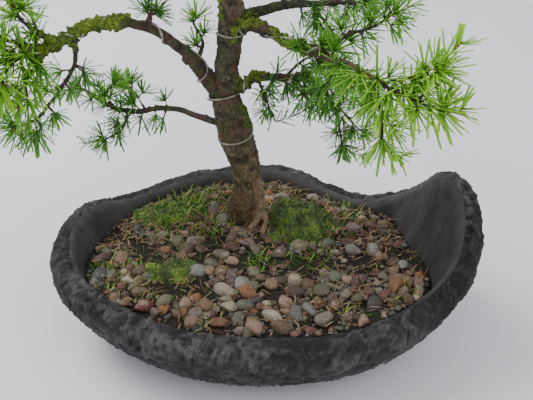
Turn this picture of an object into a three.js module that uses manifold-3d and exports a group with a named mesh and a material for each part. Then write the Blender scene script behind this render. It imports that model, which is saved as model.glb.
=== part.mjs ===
// A larch bonsai planted in a rough crescent-shaped pot, in millimetres, +Z up.
// The origin is the centre of the pot's flat foot, on the surface that it stands on.
// +X runs along the pot towards its tall horn, and +Y runs to the back of the pot.
// The pot is one hollow shell with two drain holes. It holds two mesh screens, the soil, a layer of
// gravel with larger pebbles set in it, moss cushions and the tree, whose limbs are held by wire.
import * as THREE from "three";
import { LoftGeometry } from "three/addons/geometries/LoftGeometry.js";
import { mergeVertices } from "three/addons/utils/BufferGeometryUtils.js";
import Module from "manifold-3d";

const wasm = await Module();
wasm.setup();

// ---------------------------------------------------------------- driving dimensions
const POT_LENGTH = 326; // between the middles of the lip at the two ends
const POT_WIDTH = 216; // between the middles of the lip at front and back
const FOOT_LENGTH = 212;
const FOOT_WIDTH = 148;
const LIP = 16; // thickness of the pot's wall at its lip
const FLARE = 4; // how far the outside of the wall swells out beyond its lip
const FLOOR = 12; // thickness of the pot's floor
const SOIL_LEVEL = 64; // height of the soil at the pot's wall
const HORN_RISE = 70; // how far the tall end of the lip stands above the soil
const DRAIN_RADIUS = 8;
const DRAIN_SPACING = 96;
const SCREEN_SIZE = 28; // side of a square drain screen
const SCREEN_THICKNESS = 1.2;
const SCREEN_HOLE = 4.2;
const SCREEN_PITCH = 6;
const MOUND_RISE = 7; // how far the soil rises round the trunk
const MOUND_REACH = 62;
const GRAVEL_DEPTH = 5;
const TREE_HEIGHT = 410; // from the soil at the trunk to the tip
const GIRTH = 1; // factor on the thickness of all wood
const ROOT_DEPTH = 20; // how far the foot of the trunk goes into the soil
const WIRE = 2; // diameter of the training wire
const TUFT = 13; // radius of one needle cluster
const GAP = 0.4; // clearance between neighbouring pieces
const WALL_GAP = 0.9; // clearance between the pot's wall and what fills it

const TRUNK_FOOT = new THREE.Vector3(-0.06 * (POT_LENGTH / 2), 0.4 * (POT_WIDTH / 2), 0);
const RING = 44; // points round the pot

// ---------------------------------------------------------------- solids
const { lerp } = THREE.MathUtils;

function dropCollapsed(index) {
  const kept = [];
  for (let i = 0; i < index.length; i += 3) {
    const [a, b, c] = [index[i], index[i + 1], index[i + 2]];
    if (a !== b && b !== c && c !== a) kept.push(a, b, c);
  }
  return kept;
}

// A closed geometry as a solid, turned the right way out.
function solid(geometry) {
  const bare = new THREE.BufferGeometry();
  bare.setAttribute("position", geometry.getAttribute("position"));
  if (geometry.index) bare.setIndex(geometry.index);
  const merged = mergeVertices(bare, 1e-3);
  const triVerts = new Uint32Array(dropCollapsed(merged.index.array));
  const make = () =>
    new wasm.Manifold(
      new wasm.Mesh({ numProp: 3, vertProperties: merged.attributes.position.array, triVerts }),
    );
  const first = make();
  if (first.volume() > 0) return first;
  for (let i = 0; i < triVerts.length; i += 3) {
    [triVerts[i + 1], triVerts[i + 2]] = [triVerts[i + 2], triVerts[i + 1]];
  }
  return make();
}

function geometryOf(body) {
  const mesh = body.getMesh();
  const count = mesh.numProp;
  const places = new Float32Array(mesh.numVert * 3);
  for (let i = 0; i < mesh.numVert; i++) {
    places.set(mesh.vertProperties.subarray(i * count, i * count + 3), i * 3);
  }
  const geometry = new THREE.BufferGeometry();
  geometry.setAttribute("position", new THREE.BufferAttribute(places, 3));
  geometry.setIndex(new THREE.BufferAttribute(new Uint32Array(mesh.triVerts), 1));
  geometry.computeVertexNormals();
  return geometry;
}

// A cut can leave crumbs beside the piece that it is meant to leave.
const largest = (body) =>
  body.decompose().reduce((best, each) => (each.volume() > best.volume() ? each : best));

const joined = (bodies) => bodies.reduce((sum, each) => sum.add(each));

// ---------------------------------------------------------------- scene
const bonsai = new THREE.Group();

const finish = {
  pot: { color: 0x3b393b, roughness: 0.88, metalness: 0 },
  screen: { color: 0x23262a, roughness: 0.6, metalness: 0 },
  soil: { color: 0x2b211a, roughness: 1, metalness: 0 },
  gravel: { color: 0x85725f, roughness: 0.75, metalness: 0 },
  moss: { color: 0x3f6a1c, roughness: 1, metalness: 0 },
  bark: { color: 0x5a4a3a, roughness: 0.95, metalness: 0 },
  needles: { color: 0x4f9a2e, roughness: 0.6, metalness: 0 },
  wire: { color: 0x8c8879, roughness: 0.4, metalness: 0.9 },
};

function add(name, geometry, look, group = bonsai) {
  const mesh = new THREE.Mesh(geometry, new THREE.MeshStandardMaterial({ ...finish[look] }));
  mesh.name = name;
  group.add(mesh);
  return mesh;
}

// ---------------------------------------------------------------- pot
// The middle of the lip: shares of half the pot's length and width, and the rise above the soil in
// shares of the horn's rise. It runs from the horn round the back, the low end and the front.
const LIP_LINE = [
  [1.0, -0.24, 0.76],
  [0.99, -0.04, 0.97],
  [0.92, 0.17, 1.0],
  [0.86, 0.39, 0.64],
  [0.76, 0.58, 0.28],
  [0.56, 0.66, 0.11],
  [0.36, 0.82, 0.14],
  [0.14, 1.0, 0.2],
  [-0.12, 1.01, 0.2],
  [-0.4, 0.92, 0.16],
  [-0.69, 0.64, 0.17],
  [-0.85, 0.36, 0.36],
  [-0.94, 0.06, 0.4],
  [-0.94, -0.2, 0.29],
  [-0.87, -0.42, 0.21],
  [-0.72, -0.62, 0.15],
  [-0.52, -0.8, 0.11],
  [-0.27, -0.93, 0.1],
  [0.02, -0.98, 0.1],
  [0.38, -0.93, 0.09],
  [0.66, -0.75, 0.11],
  [0.84, -0.57, 0.22],
  [0.95, -0.42, 0.45],
];
const lipCurve = new THREE.CatmullRomCurve3(
  LIP_LINE.map(
    ([x, y, rise]) =>
      new THREE.Vector3((x * POT_LENGTH) / 2, (y * POT_WIDTH) / 2, SOIL_LEVEL + rise * HORN_RISE),
  ),
  true,
);

// One place round the pot: the lip's middle, the horizontal direction outwards, and the direction
// from the middle of the foot.
function around(share) {
  const middle = lipCurve.getPoint(share);
  const along = lipCurve.getTangent(share);
  const out = new THREE.Vector3(along.y, -along.x, 0).normalize();
  const turn = Math.atan2(middle.y / POT_WIDTH, middle.x / POT_LENGTH);
  return { middle, out, turn };
}

const onFoot = (turn, inset, height) =>
  new THREE.Vector3(
    (FOOT_LENGTH / 2 - inset) * Math.cos(turn),
    (FOOT_WIDTH / 2 - inset) * Math.sin(turn),
    height,
  );

// A wall sweeps outwards low down and then climbs to the lip.
function wall(foot, top, share) {
  const belly = foot.clone().lerp(top, 0.72);
  belly.z = lerp(foot.z, top.z, 0.22);
  return new THREE.QuadraticBezierCurve3(foot, belly, top).getPoint(share);
}

const lipEdge = (place, reach, drop) =>
  place.middle.clone().addScaledVector(place.out, reach).setZ(place.middle.z - drop);

const outerWall = (place, share) =>
  wall(onFoot(place.turn, 0, 0), lipEdge(place, LIP / 2 + FLARE, LIP + FLARE / 2), share);

const innerWall = (place, share, clear = 0) =>
  wall(
    onFoot(place.turn, LIP + clear, FLOOR + clear),
    lipEdge(place, -LIP / 2 - clear, LIP / 3),
    share,
  );

const WALL_STEPS = 5;
const ring = (pointAt) =>
  Array.from({ length: RING }, (_, i) => pointAt(around(i / RING)));
const wallRings = (pointAt) =>
  Array.from({ length: WALL_STEPS + 1 }, (_, i) => ring((place) => pointAt(place, i / WALL_STEPS)));

const potShell = solid(
  new LoftGeometry(
    [
      ...wallRings(outerWall),
      ring((place) => lipEdge(place, LIP / 2 + FLARE / 2, LIP / 3)),
      ring((place) => lipEdge(place, LIP / 4, LIP / 16)),
      ring((place) => lipEdge(place, -LIP / 4, LIP / 16)),
      ...wallRings(innerWall).reverse(),
      ring(() => new THREE.Vector3(0, 0, FLOOR)),
    ],
    { capStart: true },
  ),
);

const drainPlaces = [-DRAIN_SPACING / 2, DRAIN_SPACING / 2];
const drainHole = (x) => {
  const bore = new THREE.CylinderGeometry(DRAIN_RADIUS, DRAIN_RADIUS, 3 * FLOOR, 20);
  bore.rotateX(Math.PI / 2).translate(x, 0, FLOOR / 2);
  return solid(bore);
};
add("pot", geometryOf(potShell.subtract(joined(drainPlaces.map(drainHole)))), "pot");

// ---------------------------------------------------------------- drain screens
// A thin square plate with square holes in rows.
function screenPlate() {
  const plate = solid(new THREE.BoxGeometry(SCREEN_SIZE, SCREEN_SIZE, SCREEN_THICKNESS));
  const rows = Math.floor((SCREEN_SIZE - SCREEN_HOLE) / SCREEN_PITCH);
  const first = (-(rows - 1) * SCREEN_PITCH) / 2;
  const holes = [];
  for (let i = 0; i < rows * rows; i++) {
    const hole = new THREE.BoxGeometry(SCREEN_HOLE, SCREEN_HOLE, 3 * SCREEN_THICKNESS);
    const [column, row] = [i % rows, Math.floor(i / rows)];
    hole.translate(first + column * SCREEN_PITCH, first + row * SCREEN_PITCH, 0);
    holes.push(solid(hole));
  }
  return plate.subtract(joined(holes));
}
const SCREEN_TOP = FLOOR + GAP + SCREEN_THICKNESS;
drainPlaces.forEach((x, i) => {
  const screen = add(
    `drain_screen_${i === 0 ? "left" : "right"}`,
    geometryOf(screenPlate()),
    "screen",
  );
  screen.position.set(x, 0, SCREEN_TOP - SCREEN_THICKNESS / 2);
});

// ---------------------------------------------------------------- ground
const groundAt = (x, y) =>
  SOIL_LEVEL +
  MOUND_RISE * Math.exp(-(((x - TRUNK_FOOT.x) ** 2 + (y - TRUNK_FOOT.y) ** 2) / MOUND_REACH ** 2));

// The space inside the pot, clear of its wall, and straight up from its lip.
const cavityWall = (place, share) => innerWall(place, share, WALL_GAP);
const cavityTop = (place) => cavityWall(place, 1).setZ(SOIL_LEVEL + 1.5 * HORN_RISE);
const cavity = solid(
  new LoftGeometry([...wallRings(cavityWall), ring(cavityTop)], { capStart: true, capEnd: true }),
);

// Everything from the foot of the pot up to the ground and some way above it.
function groundUpTo(above) {
  const [across, deep] = [1.1 * POT_LENGTH, 1.1 * POT_WIDTH];
  const block = new THREE.BoxGeometry(across, deep, 1, 10, 6, 1);
  const places = block.getAttribute("position");
  for (let i = 0; i < places.count; i++) {
    const top = groundAt(places.getX(i), places.getY(i)) + above;
    places.setZ(i, places.getZ(i) > 0 ? top : 0);
  }
  return solid(block);
}

// ---------------------------------------------------------------- tree skeleton
// Lines in a tree of the height DRAWN_HEIGHT, from the point where the trunk's middle meets the
// soil, each point followed by the radius of the wood there.
const DRAWN_HEIGHT = 410;
const TREE_SCALE = TREE_HEIGHT / DRAWN_HEIGHT;

const TRUNK = [
  [0, 0, 0, 14.5],
  [1, 0, 12, 13],
  [1, 0, 40, 12.4],
  [0, 0, 57, 12.2],
  [-4, 0, 76, 13.6],
  [-8, 0, 90, 14.4],
  [-11, -1, 106, 13.6],
  [-14, -2, 122, 11.6],
  [-14, -2, 144, 9.6],
  [-12, -2, 163, 9.4],
  [-10, -2, 180, 10],
  [-9, -2, 200, 9.8],
  [-13, 0, 228, 8.4],
  [-19, 4, 258, 7],
  [-15, 6, 290, 5.8],
  [-6, 3, 322, 4.6],
  [-3, -1, 354, 3.4],
  [-6, -3, 384, 2.2],
  [-4, -4, 410, 1],
];

// Each root runs out from the foot of the trunk and down into the soil.
const ROOTS = [
  [[7, -6, 54, 3.4], [11, -8, 46, 3.6], [13, -10, 28, 3.6], [10, -14, 16, 3.4],
    [3, -19, 10, 2.8], [-5, -24, 4, 2], [-10, -27, -4, 1.4]],
  [[12, -10, 24, 2.6], [16, -17, 18, 2.4], [14, -23, 11, 2.2], [13, -28, 2, 1.8]],
  [[-8, -4, 34, 4.4], [-13, -7, 26, 3.6], [-14, -9, 14, 3], [-15, -11, 0, 2.4]],
  [[-8, 4, 12, 6], [-19, 8, 3, 4.5], [-30, 8, -6, 2.5]],
  [[6, 4, 12, 6], [17, 11, 3, 4], [28, 17, -6, 2.5]],
  [[2, 6, 12, 6], [6, 20, 2, 4], [2, 32, -6, 2.5]],
];

// A branch has its own line, its twigs, and sprays: runs of needle clusters, each along the
// branch's line ("main") or a twig, from one share of that line to its end.
const BRANCHES = {
  left_high: {
    line: [
      [-14, -2, 119, 8.5], [-28, -3, 142, 6.8], [-45, -10, 169, 4.6], [-61, -18, 187, 3.8],
      [-83, -28, 199, 3.6], [-104, -42, 203, 3.6], [-126, -57, 196, 3.2], [-150, -76, 195, 2.2],
      [-170, -90, 197, 1.2],
    ],
    twigs: {
      rising: [[-126, -57, 197, 2], [-143, -68, 220, 1.4], [-146, -72, 234, 1]],
      hanging: [
        [-115, -49, 199, 2.4], [-116, -53, 180, 1.8], [-126, -56, 165, 1.6],
        [-146, -58, 141, 1.4], [-162, -60, 133, 0.9],
      ],
      spur: [[-67, -21, 190, 3], [-66, -21, 198, 2.2], [-64, -21, 205, 1.2]],
      back: [[-36, -6, 157, 2], [-31, 3, 170, 1.6], [-38, 8, 183, 1]],
      outer_low: [[-138, -66, 195, 1.8], [-144, -74, 181, 1.3], [-145, -78, 166, 0.9]],
      outer_front: [[-148, -75, 195, 1.8], [-158, -92, 189, 1.3], [-166, -104, 184, 0.9]],
      outer_back: [[-140, -66, 195, 1.8], [-158, -62, 203, 1.3], [-176, -62, 208, 0.9]],
    },
    sprays: {
      rising: [["rising", 0.55]],
      hanging: [["hanging", 0.2]],
      outer: [["main", 0.82], ["outer_low", 0.2], ["outer_front", 0.2], ["outer_back", 0.2]],
      back: [["back", 0.55]],
    },
  },
  left_low: {
    line: [
      [-14, -2, 102, 3.4], [-26, -2, 104, 3], [-45, 2, 109, 2.6], [-60, 6, 111, 2.4],
      [-78, 10, 107, 2.4], [-96, 12, 105, 2.2], [-112, 14, 109, 1.8], [-122, 16, 117, 1.5],
      [-134, 19, 124, 1],
    ],
    twigs: {
      rising: [[-108, 14, 107, 1.4], [-110, 14, 121, 1.1], [-104, 10, 131, 0.8]],
      hanging: [[-95, 12, 105, 1.5], [-101, 7, 91, 1.1], [-114, 3, 83, 0.8]],
      back: [[-80, 10, 107, 1.3], [-90, 26, 113, 0.9], [-98, 38, 116, 0.7]],
    },
    sprays: {
      outer: [["main", 0.72], ["rising", 0.4]],
      inner: [["main", 0.3, 0.5]],
      hanging: [["hanging", 0.6]],
      back: [["back", 0.5]],
    },
  },
  right_top: {
    line: [
      [-9, -2, 190, 5], [3, -2, 194, 4.6], [16, 0, 197, 4], [33, 2, 200, 3.6],
      [49, 2, 201, 3], [66, -2, 204, 2.2], [86, -8, 205, 1.2],
    ],
    twigs: {
      front: [[50, 1, 201, 2], [57, -10, 195, 1.4], [64, -20, 190, 0.9]],
      back: [[36, 2, 200, 1.8], [48, 20, 204, 1.3], [56, 34, 206, 0.9]],
      outer: [[66, -2, 204, 1.6], [80, 10, 200, 1.2], [94, 18, 199, 0.8]],
    },
    sprays: { outer: [["main", 0.64], ["front", 0.4], ["outer", 0.3]], back: [["back", 0.4]] },
  },
  right_front: {
    line: [
      [-9, -4, 182, 6], [2, -9, 188, 5], [16, -22, 191, 4.2], [28, -37, 190, 3.6],
      [40, -53, 191, 3.2], [53, -71, 196, 2.6], [68, -95, 201, 2.2], [83, -120, 203, 1.8],
      [96, -146, 206, 1.2],
    ],
    twigs: {
      hanging: [[82, -118, 203, 1.8], [87, -126, 187, 1.5], [89, -131, 167, 1]],
      outer: [[90, -134, 205, 1.5], [106, -148, 203, 1.2], [121, -154, 199, 0.8]],
      rising: [[86, -126, 204, 1.4], [102, -136, 213, 1.1], [115, -140, 221, 0.8]],
      inner: [[48, -64, 194, 1.8], [58, -62, 188, 1.4], [69, -66, 181, 0.9]],
      back: [[53, -71, 196, 1.9], [70, -75, 212, 1.6], [85, -83, 221, 1.3], [97, -85, 231, 0.9]],
    },
    sprays: {
      outer: [["main", 0.62], ["outer", 0.2], ["rising", 0.3], ["back", 0.3]],
      hanging: [["hanging", 0.7]],
      inner: [["inner", 0.5]],
    },
  },
  right_low: {
    line: [
      [-14, -2, 128, 4.4], [-2, -5, 136, 4], [11, -8, 145, 3.4], [24, -10, 147, 3],
      [38, -12, 148, 2.6], [50, -14, 147, 2.2], [61, -17, 138, 1.9], [70, -21, 124, 1.5],
      [75, -26, 95, 0.9],
    ],
    twigs: {
      dead: [[11, -8, 143, 1.4], [17, -12, 126, 1.1], [24, -14, 110, 0.8]],
      dead_fork: [[20, -13, 118, 1], [20, -15, 110, 0.9], [18, -15, 102, 0.7]],
      outer: [[58, -16, 141, 1.6], [74, -16, 143, 1.2], [90, -20, 138, 0.8]],
      low: [[66, -19, 131, 1.5], [79, -24, 120, 1.2], [90, -30, 111, 0.8]],
      front: [[38, -12, 148, 1.5], [44, -28, 145, 1.2], [50, -42, 142, 0.8]],
      back: [[30, -11, 147, 1.5], [44, 6, 152, 1.2], [58, 18, 153, 0.8]],
    },
    sprays: {
      outer: [["main", 0.6, 0.88], ["outer", 0.2], ["low", 0.2]],
      hanging: [["main", 0.98]],
      front: [["front", 0.5]],
      back: [["back", 0.5]],
    },
  },
  crown_left: {
    line: [
      [-15, 0, 230, 4.2], [-34, 4, 244, 3.6], [-60, 8, 252, 3], [-88, 8, 256, 2.3],
      [-112, 6, 262, 1.3],
    ],
    twigs: {
      back: [[-66, 8, 253, 1.6], [-80, 26, 262, 1.2], [-92, 40, 266, 0.8]],
      front: [[-60, 8, 252, 1.6], [-76, -10, 262, 1.2], [-88, -24, 270, 0.8]],
    },
    sprays: { pad: [["main", 0.5], ["back", 0.2], ["front", 0.2]] },
  },
  crown_back: {
    line: [
      [-17, 3, 246, 3.8], [-16, 24, 258, 3.2], [-10, 50, 264, 2.6], [-14, 76, 270, 1.4],
    ],
    twigs: {
      left: [[-13, 44, 263, 1.5], [-34, 58, 270, 1.1], [-50, 66, 274, 0.8]],
      right: [[-11, 44, 263, 1.5], [10, 58, 270, 1.1], [24, 66, 274, 0.8]],
    },
    sprays: { pad: [["main", 0.5], ["left", 0.2], ["right", 0.2]] },
  },
  crown_right: {
    line: [
      [-18, 5, 268, 3.6], [4, 4, 280, 3], [32, -2, 286, 2.5], [62, -8, 292, 1.3],
    ],
    twigs: {
      front: [[28, -2, 285, 1.5], [40, -22, 296, 1.1], [50, -36, 302, 0.8]],
      back: [[30, -2, 286, 1.5], [46, 16, 293, 1.1], [56, 30, 297, 0.8]],
    },
    sprays: { pad: [["main", 0.45], ["front", 0.2], ["back", 0.2]] },
  },
  crown_front: {
    line: [
      [-15, 5, 288, 3.2], [-24, -14, 303, 2.6], [-38, -38, 312, 2.1], [-48, -60, 322, 1.1],
    ],
    twigs: {
      left: [[-32, -28, 309, 1.3], [-52, -30, 317, 1], [-70, -28, 321, 0.7]],
      right: [[-34, -32, 310, 1.3], [-18, -46, 319, 1], [-6, -58, 325, 0.7]],
    },
    sprays: { pad: [["main", 0.4], ["left", 0.2], ["right", 0.2]] },
  },
  crown_high_left: {
    line: [
      [-8, 4, 314, 2.6], [-26, 8, 326, 2.2], [-48, 12, 333, 1.7], [-66, 14, 340, 1],
    ],
    twigs: { back: [[-36, 10, 329, 1.2], [-44, 28, 338, 0.9], [-50, 40, 342, 0.7]] },
    sprays: { pad: [["main", 0.4], ["back", 0.2]] },
  },
  crown_high_right: {
    line: [
      [-5, 2, 330, 2.4], [12, 4, 341, 2], [30, 4, 346, 1.6], [46, 2, 352, 1],
    ],
    twigs: { back: [[16, 4, 342, 1.2], [24, 20, 350, 0.9], [30, 32, 354, 0.7]] },
    sprays: { pad: [["main", 0.35], ["back", 0.2]] },
  },
};

const placeOf = ([x, y, z]) =>
  new THREE.Vector3(x, y, z)
    .multiplyScalar(TREE_SCALE)
    .add(TRUNK_FOOT)
    .setZ(z * TREE_SCALE + SOIL_LEVEL);

// The middle line and the thickness of a limb, both by the share from its first point to its last.
function limbLine(points) {
  const curve = new THREE.CatmullRomCurve3(points.map(placeOf));
  const radiusAt = (share) => {
    const at = THREE.MathUtils.clamp(share, 0, 1) * (points.length - 1);
    const i = Math.min(Math.floor(at), points.length - 2);
    return lerp(points[i][3], points[i + 1][3], at - i) * GIRTH * TREE_SCALE;
  };
  return { curve, radiusAt, count: points.length - 1 };
}

const BACKWARDS = new THREE.Vector3(0, 1, 0);

// A point on a limb's surface, some way out from it, at a turn round it.
function onLimb({ curve, radiusAt }, share, turn, out = 0) {
  const along = curve.getTangent(share);
  const side = new THREE.Vector3().crossVectors(BACKWARDS, along).normalize();
  const up = new THREE.Vector3().crossVectors(along, side);
  const reach = radiusAt(share) + out;
  return curve
    .getPoint(share)
    .addScaledVector(side, reach * Math.cos(turn))
    .addScaledVector(up, reach * Math.sin(turn));
}

// The solid of a limb, thicker by extra, with the last stretch drawn in to a blunt tip.
function limb(line, sides, stepsPerPoint, extra = 0) {
  const steps = line.count * stepsPerPoint;
  const section = (share, out) =>
    Array.from({ length: sides }, (_, i) => onLimb(line, share, (2 * Math.PI * i) / sides, out));
  const rings = Array.from({ length: steps + 1 }, (_, i) => section(i / steps, extra));
  return solid(new LoftGeometry(rings, { capStart: true, capEnd: true }));
}

const TRUNK_SIDES = 14;
const BRANCH_SIDES = 7;
const TWIG_SIDES = 4;

// ---------------------------------------------------------------- trunk and roots
const trunkLine = limbLine(TRUNK);
const rootLines = ROOTS.map((points) => limbLine(points.map((p) => [...p])));

// The foot of the trunk below the soil: a plug that tapers downwards.
function rootPlug(extra) {
  const radius = trunkLine.radiusAt(0);
  const depth = ROOT_DEPTH + MOUND_RISE;
  const plug = new THREE.CylinderGeometry(radius + extra, 0.7 * radius + extra, depth, TRUNK_SIDES);
  plug.rotateX(Math.PI / 2);
  plug.translate(TRUNK_FOOT.x, TRUNK_FOOT.y, SOIL_LEVEL + MOUND_RISE - depth / 2);
  return solid(plug);
}

const trunkSolid = (extra) =>
  joined([
    limb(trunkLine, TRUNK_SIDES, 1, extra),
    rootPlug(extra),
    ...rootLines.map((line) => limb(line, 6, 1, extra)),
  ]);
const trunk = trunkSolid(0);
const trunkClear = trunkSolid(GAP);

// ---------------------------------------------------------------- branches
for (const branch of Object.values(BRANCHES)) {
  branch.main = limbLine(branch.line);
  branch.twigLines = Object.fromEntries(
    Object.entries(branch.twigs).map(([name, points]) => [name, limbLine(points)]),
  );
}

const branchSolid = (branch, extra) =>
  joined([
    limb(branch.main, BRANCH_SIDES, 1, extra),
    ...Object.values(branch.twigLines).map((line) => limb(line, TWIG_SIDES, 1, extra)),
  ]);

// ---------------------------------------------------------------- training wire
const TURN = 2 * Math.PI;
// Wire lies on the bark. A coil is given by places that it passes on one limb: [how many points
// along the limb's list, turns round the limb, how far it stands off there].
const WIRE_OFF = WIRE / 2 + GAP + 0.5;

function coil(line, places) {
  const found = [];
  places.slice(1).forEach(([along, turn, off = 0], i) => {
    const [alongBefore, turnBefore, offBefore = 0] = places[i];
    const perTurn = line === trunkLine ? 16 : 9;
    const steps = Math.max(1, Math.ceil(Math.abs(turn - turnBefore) * perTurn));
    for (let j = i ? 1 : 0; j <= steps; j++) {
      const share = lerp(alongBefore, along, j / steps) / line.count;
      const angle = TURN * lerp(turnBefore, turn, j / steps);
      found.push(onLimb(line, share, angle, WIRE_OFF + lerp(offBefore, off, j / steps)));
    }
  });
  return found;
}

function wireTube(points, thickness) {
  const path = new THREE.CatmullRomCurve3(points);
  const steps = points.length - 1;
  const outline = new THREE.Shape().absarc(0, 0, thickness / 2, 0, 2 * Math.PI);
  return solid(
    new THREE.ExtrudeGeometry(outline, { steps, extrudePath: path, curveSegments: 3 }),
  );
}

const { left_high: leftHigh, right_low: rightLow, right_front: rightFront } = BRANCHES;
const WIRES = {
  // Up the trunk from behind in three level rings, and out along the front right branch.
  wire_trunk_to_right: [
    ...coil(trunkLine, [
      [4.6, 0.25], [5, 0.5], [5, 1], [7.2, 1.5, 5], [7.4, 1.75], [7.5, 2], [9, 2.25],
      [10, 2.5], [10.05, 2.95],
    ]),
    ...coil(rightFront.main, [
      [0.72, 1.1], [0.8, 0.75], [0.96, 0.5], [1.2, 0.25], [1.6, 0], [2.64, -0.25],
      [3.44, -0.5], [3.76, -0.75], [4, -1], [4.45, -1.25], [4.8, -1.5], [5.2, -1.9],
    ]),
  ],
  // From the left branch, round behind the trunk, and out along the lower right branch.
  wire_left_to_right: [
    ...coil(leftHigh.main, [
      [6.7, 1], [6.5, 0.75], [6.25, 0.5], [5.8, 0], [5.5, -0.25], [5.2, -0.5], [4.55, -1],
      [4.3, -1.25], [4.05, -1.5], [3.2, -2], [2.9, -2.25], [2.6, -2.5], [1.35, -3],
      [1.2, -3.25], [1.1, -3.5], [0.95, -3.75],
    ]),
    ...coil(trunkLine, [[7.25, 0.42], [7.3, 0.08]]),
    ...coil(rightLow.main, [
      [0.75, 1], [1.2, 0.75], [1.5, 0.5], [2.1, 0.2], [3.4, 0], [3.8, -0.25], [4.1, -0.5],
      [4.5, -0.8],
    ]),
  ],
};
const wires = Object.entries(WIRES).map(([name, points]) => ({
  name,
  body: wireTube(points, WIRE),
  clear: wireTube(points, WIRE + 2 * GAP),
}));
const wireClear = joined(wires.map(({ clear }) => clear));

add("trunk", geometryOf(largest(trunk.subtract(wireClear))), "bark");
// What is already in place, with its clearance. Each later piece of the tree is cut to it.
let taken = trunkClear.add(wireClear);
for (const [name, branch] of Object.entries(BRANCHES)) {
  add(`branch_${name}`, geometryOf(largest(branchSolid(branch, 0).subtract(taken))), "bark");
  taken = taken.add(branchSolid(branch, GAP));
}
for (const { name, body } of wires) add(name, geometryOf(body), "wire");

// ---------------------------------------------------------------- needles
// A spray is the room that the needles of a run of twig take up: a lumpy sleeve round the wood, a
// little longer than the twig. Each is cut clear of the wood and of the sprays before it.
const SPRAY_SIDES = 6;
function sleeve(line, from, to, extra) {
  const length = line.curve.getLength() * (to - from);
  const lumps = Math.max(2, Math.round(length / (1.2 * TUFT)));
  const middles = Array.from({ length: lumps + 1 }, (_, i) =>
    line.curve.getPoint(lerp(from, to, i / lumps)),
  );
  const [tip, before] = [middles[lumps], middles[lumps - 1]];
  const onwards = tip.clone().sub(before).setLength(0.7 * TUFT);
  middles.push(tip.clone().add(onwards));
  const spine = new THREE.CatmullRomCurve3(middles);
  const swell = middles.map((_, i) => {
    const atEnd = i === 0 || i === middles.length - 1;
    return (atEnd ? 0.45 : i % 2 ? 1 : 0.86) * TUFT;
  });
  const rings = middles.map((_, i) => {
    const share = i / (middles.length - 1);
    const around = { curve: spine, radiusAt: () => swell[i] + extra };
    return Array.from({ length: SPRAY_SIDES }, (_, j) =>
      onLimb(around, share, (2 * Math.PI * (j + 0.5 * (i % 2))) / SPRAY_SIDES),
    );
  });
  return solid(new LoftGeometry(rings, { capStart: true, capEnd: true }));
}

const spraySolid = (branch, runs, extra) =>
  joined(
    runs.map(([name, from, to = 1]) =>
      sleeve(name === "main" ? branch.main : branch.twigLines[name], from, to, extra),
    ),
  );

for (const [branchName, branch] of Object.entries(BRANCHES)) {
  for (const [sprayName, runs] of Object.entries(branch.sprays)) {
    const body = largest(spraySolid(branch, runs, 0).subtract(taken));
    add(`needles_${branchName}_${sprayName}`, geometryOf(body), "needles");
    taken = taken.add(spraySolid(branch, runs, GAP));
  }
}

const tip = sleeve(trunkLine, 0.86, 1, 0);
add("needles_crown_tip", geometryOf(largest(tip.subtract(taken))), "needles");

// ---------------------------------------------------------------- moss
// Moss cushions: the middle, the radii along and across the pot, and the rise. One grows against
// the trunk, and the others keep their share of the pot.
const inPot = (x, y) => [(x * POT_LENGTH) / 2, (y * POT_WIDTH) / 2];
const MOSS = {
  moss_right: { middle: [TRUNK_FOOT.x + 44, TRUNK_FOOT.y - 6.5], radii: [33, 33], rise: 9 },
  moss_left: { middle: inPot(-0.42, -0.2), radii: [24, 16], rise: 6 },
  moss_back: { middle: inPot(-0.48, 0.5), radii: [34, 20], rise: 6 },
};

function cushion({ middle: [cx, cy], radii: [along, across], rise }, extra) {
  const ball = new THREE.SphereGeometry(1, 14, 6);
  ball.rotateX(Math.PI / 2);
  ball.scale(along + extra, across + extra, rise + GRAVEL_DEPTH + extra);
  ball.translate(cx, cy, groundAt(cx, cy));
  return solid(ball);
}
const aboveSoil = cavity.subtract(groundUpTo(GAP));

// ---------------------------------------------------------------- larger pebbles
// [share of half length, share of half width, length, width, height, turn in degrees]
const PEBBLES = {
  pebble_red: [-0.54, -0.59, 20, 11, 11, 30],
  pebble_mottled: [-0.57, -0.43, 15, 10, 9, -5],
  pebble_brick: [-0.14, 0.03, 16, 9, 9, 4],
  pebble_pink: [-0.13, -0.12, 12, 9, 8, 0],
  pebble_standing: [0.18, -0.35, 11, 9, 20, 0],
  pebble_grey_long: [0.49, 0.03, 19, 11, 10, -28],
  pebble_round: [0.72, -0.14, 10, 10, 9, 0],
  pebble_olive: [0.31, -0.43, 15, 13, 12, 30],
  pebble_slate: [0.55, -0.56, 18, 13, 9, 60],
  pebble_buff: [0.31, -0.72, 17, 14, 12, 50],
  pebble_streaked: [0.07, -0.7, 20, 12, 11, 50],
  pebble_rust: [-0.17, -0.76, 21, 10, 9, -4],
  pebble_tan: [-0.24, -0.58, 14, 13, 12, 0],
  pebble_dark: [-0.06, -0.58, 16, 10, 9, 10],
};

function pebbleGeometry([, , length, width, height], extra) {
  const stone = new THREE.IcosahedronGeometry(1, 1);
  return stone.scale(length / 2 + extra, width / 2 + extra, height / 2 + extra);
}

// The pocket that a pebble sits in: an upright prism a little wider than the pebble.
function pebblePocket([, , length, width, height]) {
  const sides = 8;
  const prism = new THREE.CylinderGeometry(1, 1, height + 2 * GAP, sides).rotateX(Math.PI / 2);
  const fit = Math.cos(Math.PI / sides);
  return prism.scale((length / 2 + GAP) / fit, (width / 2 + GAP) / fit, 1);
}

function pebblePlace([x, y, , , height, turn]) {
  const [px, py] = inPot(x, y);
  return {
    place: new THREE.Vector3(px, py, groundAt(px, py) + height / 2 + 2 * GAP),
    turn: THREE.MathUtils.degToRad(turn),
  };
}

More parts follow.
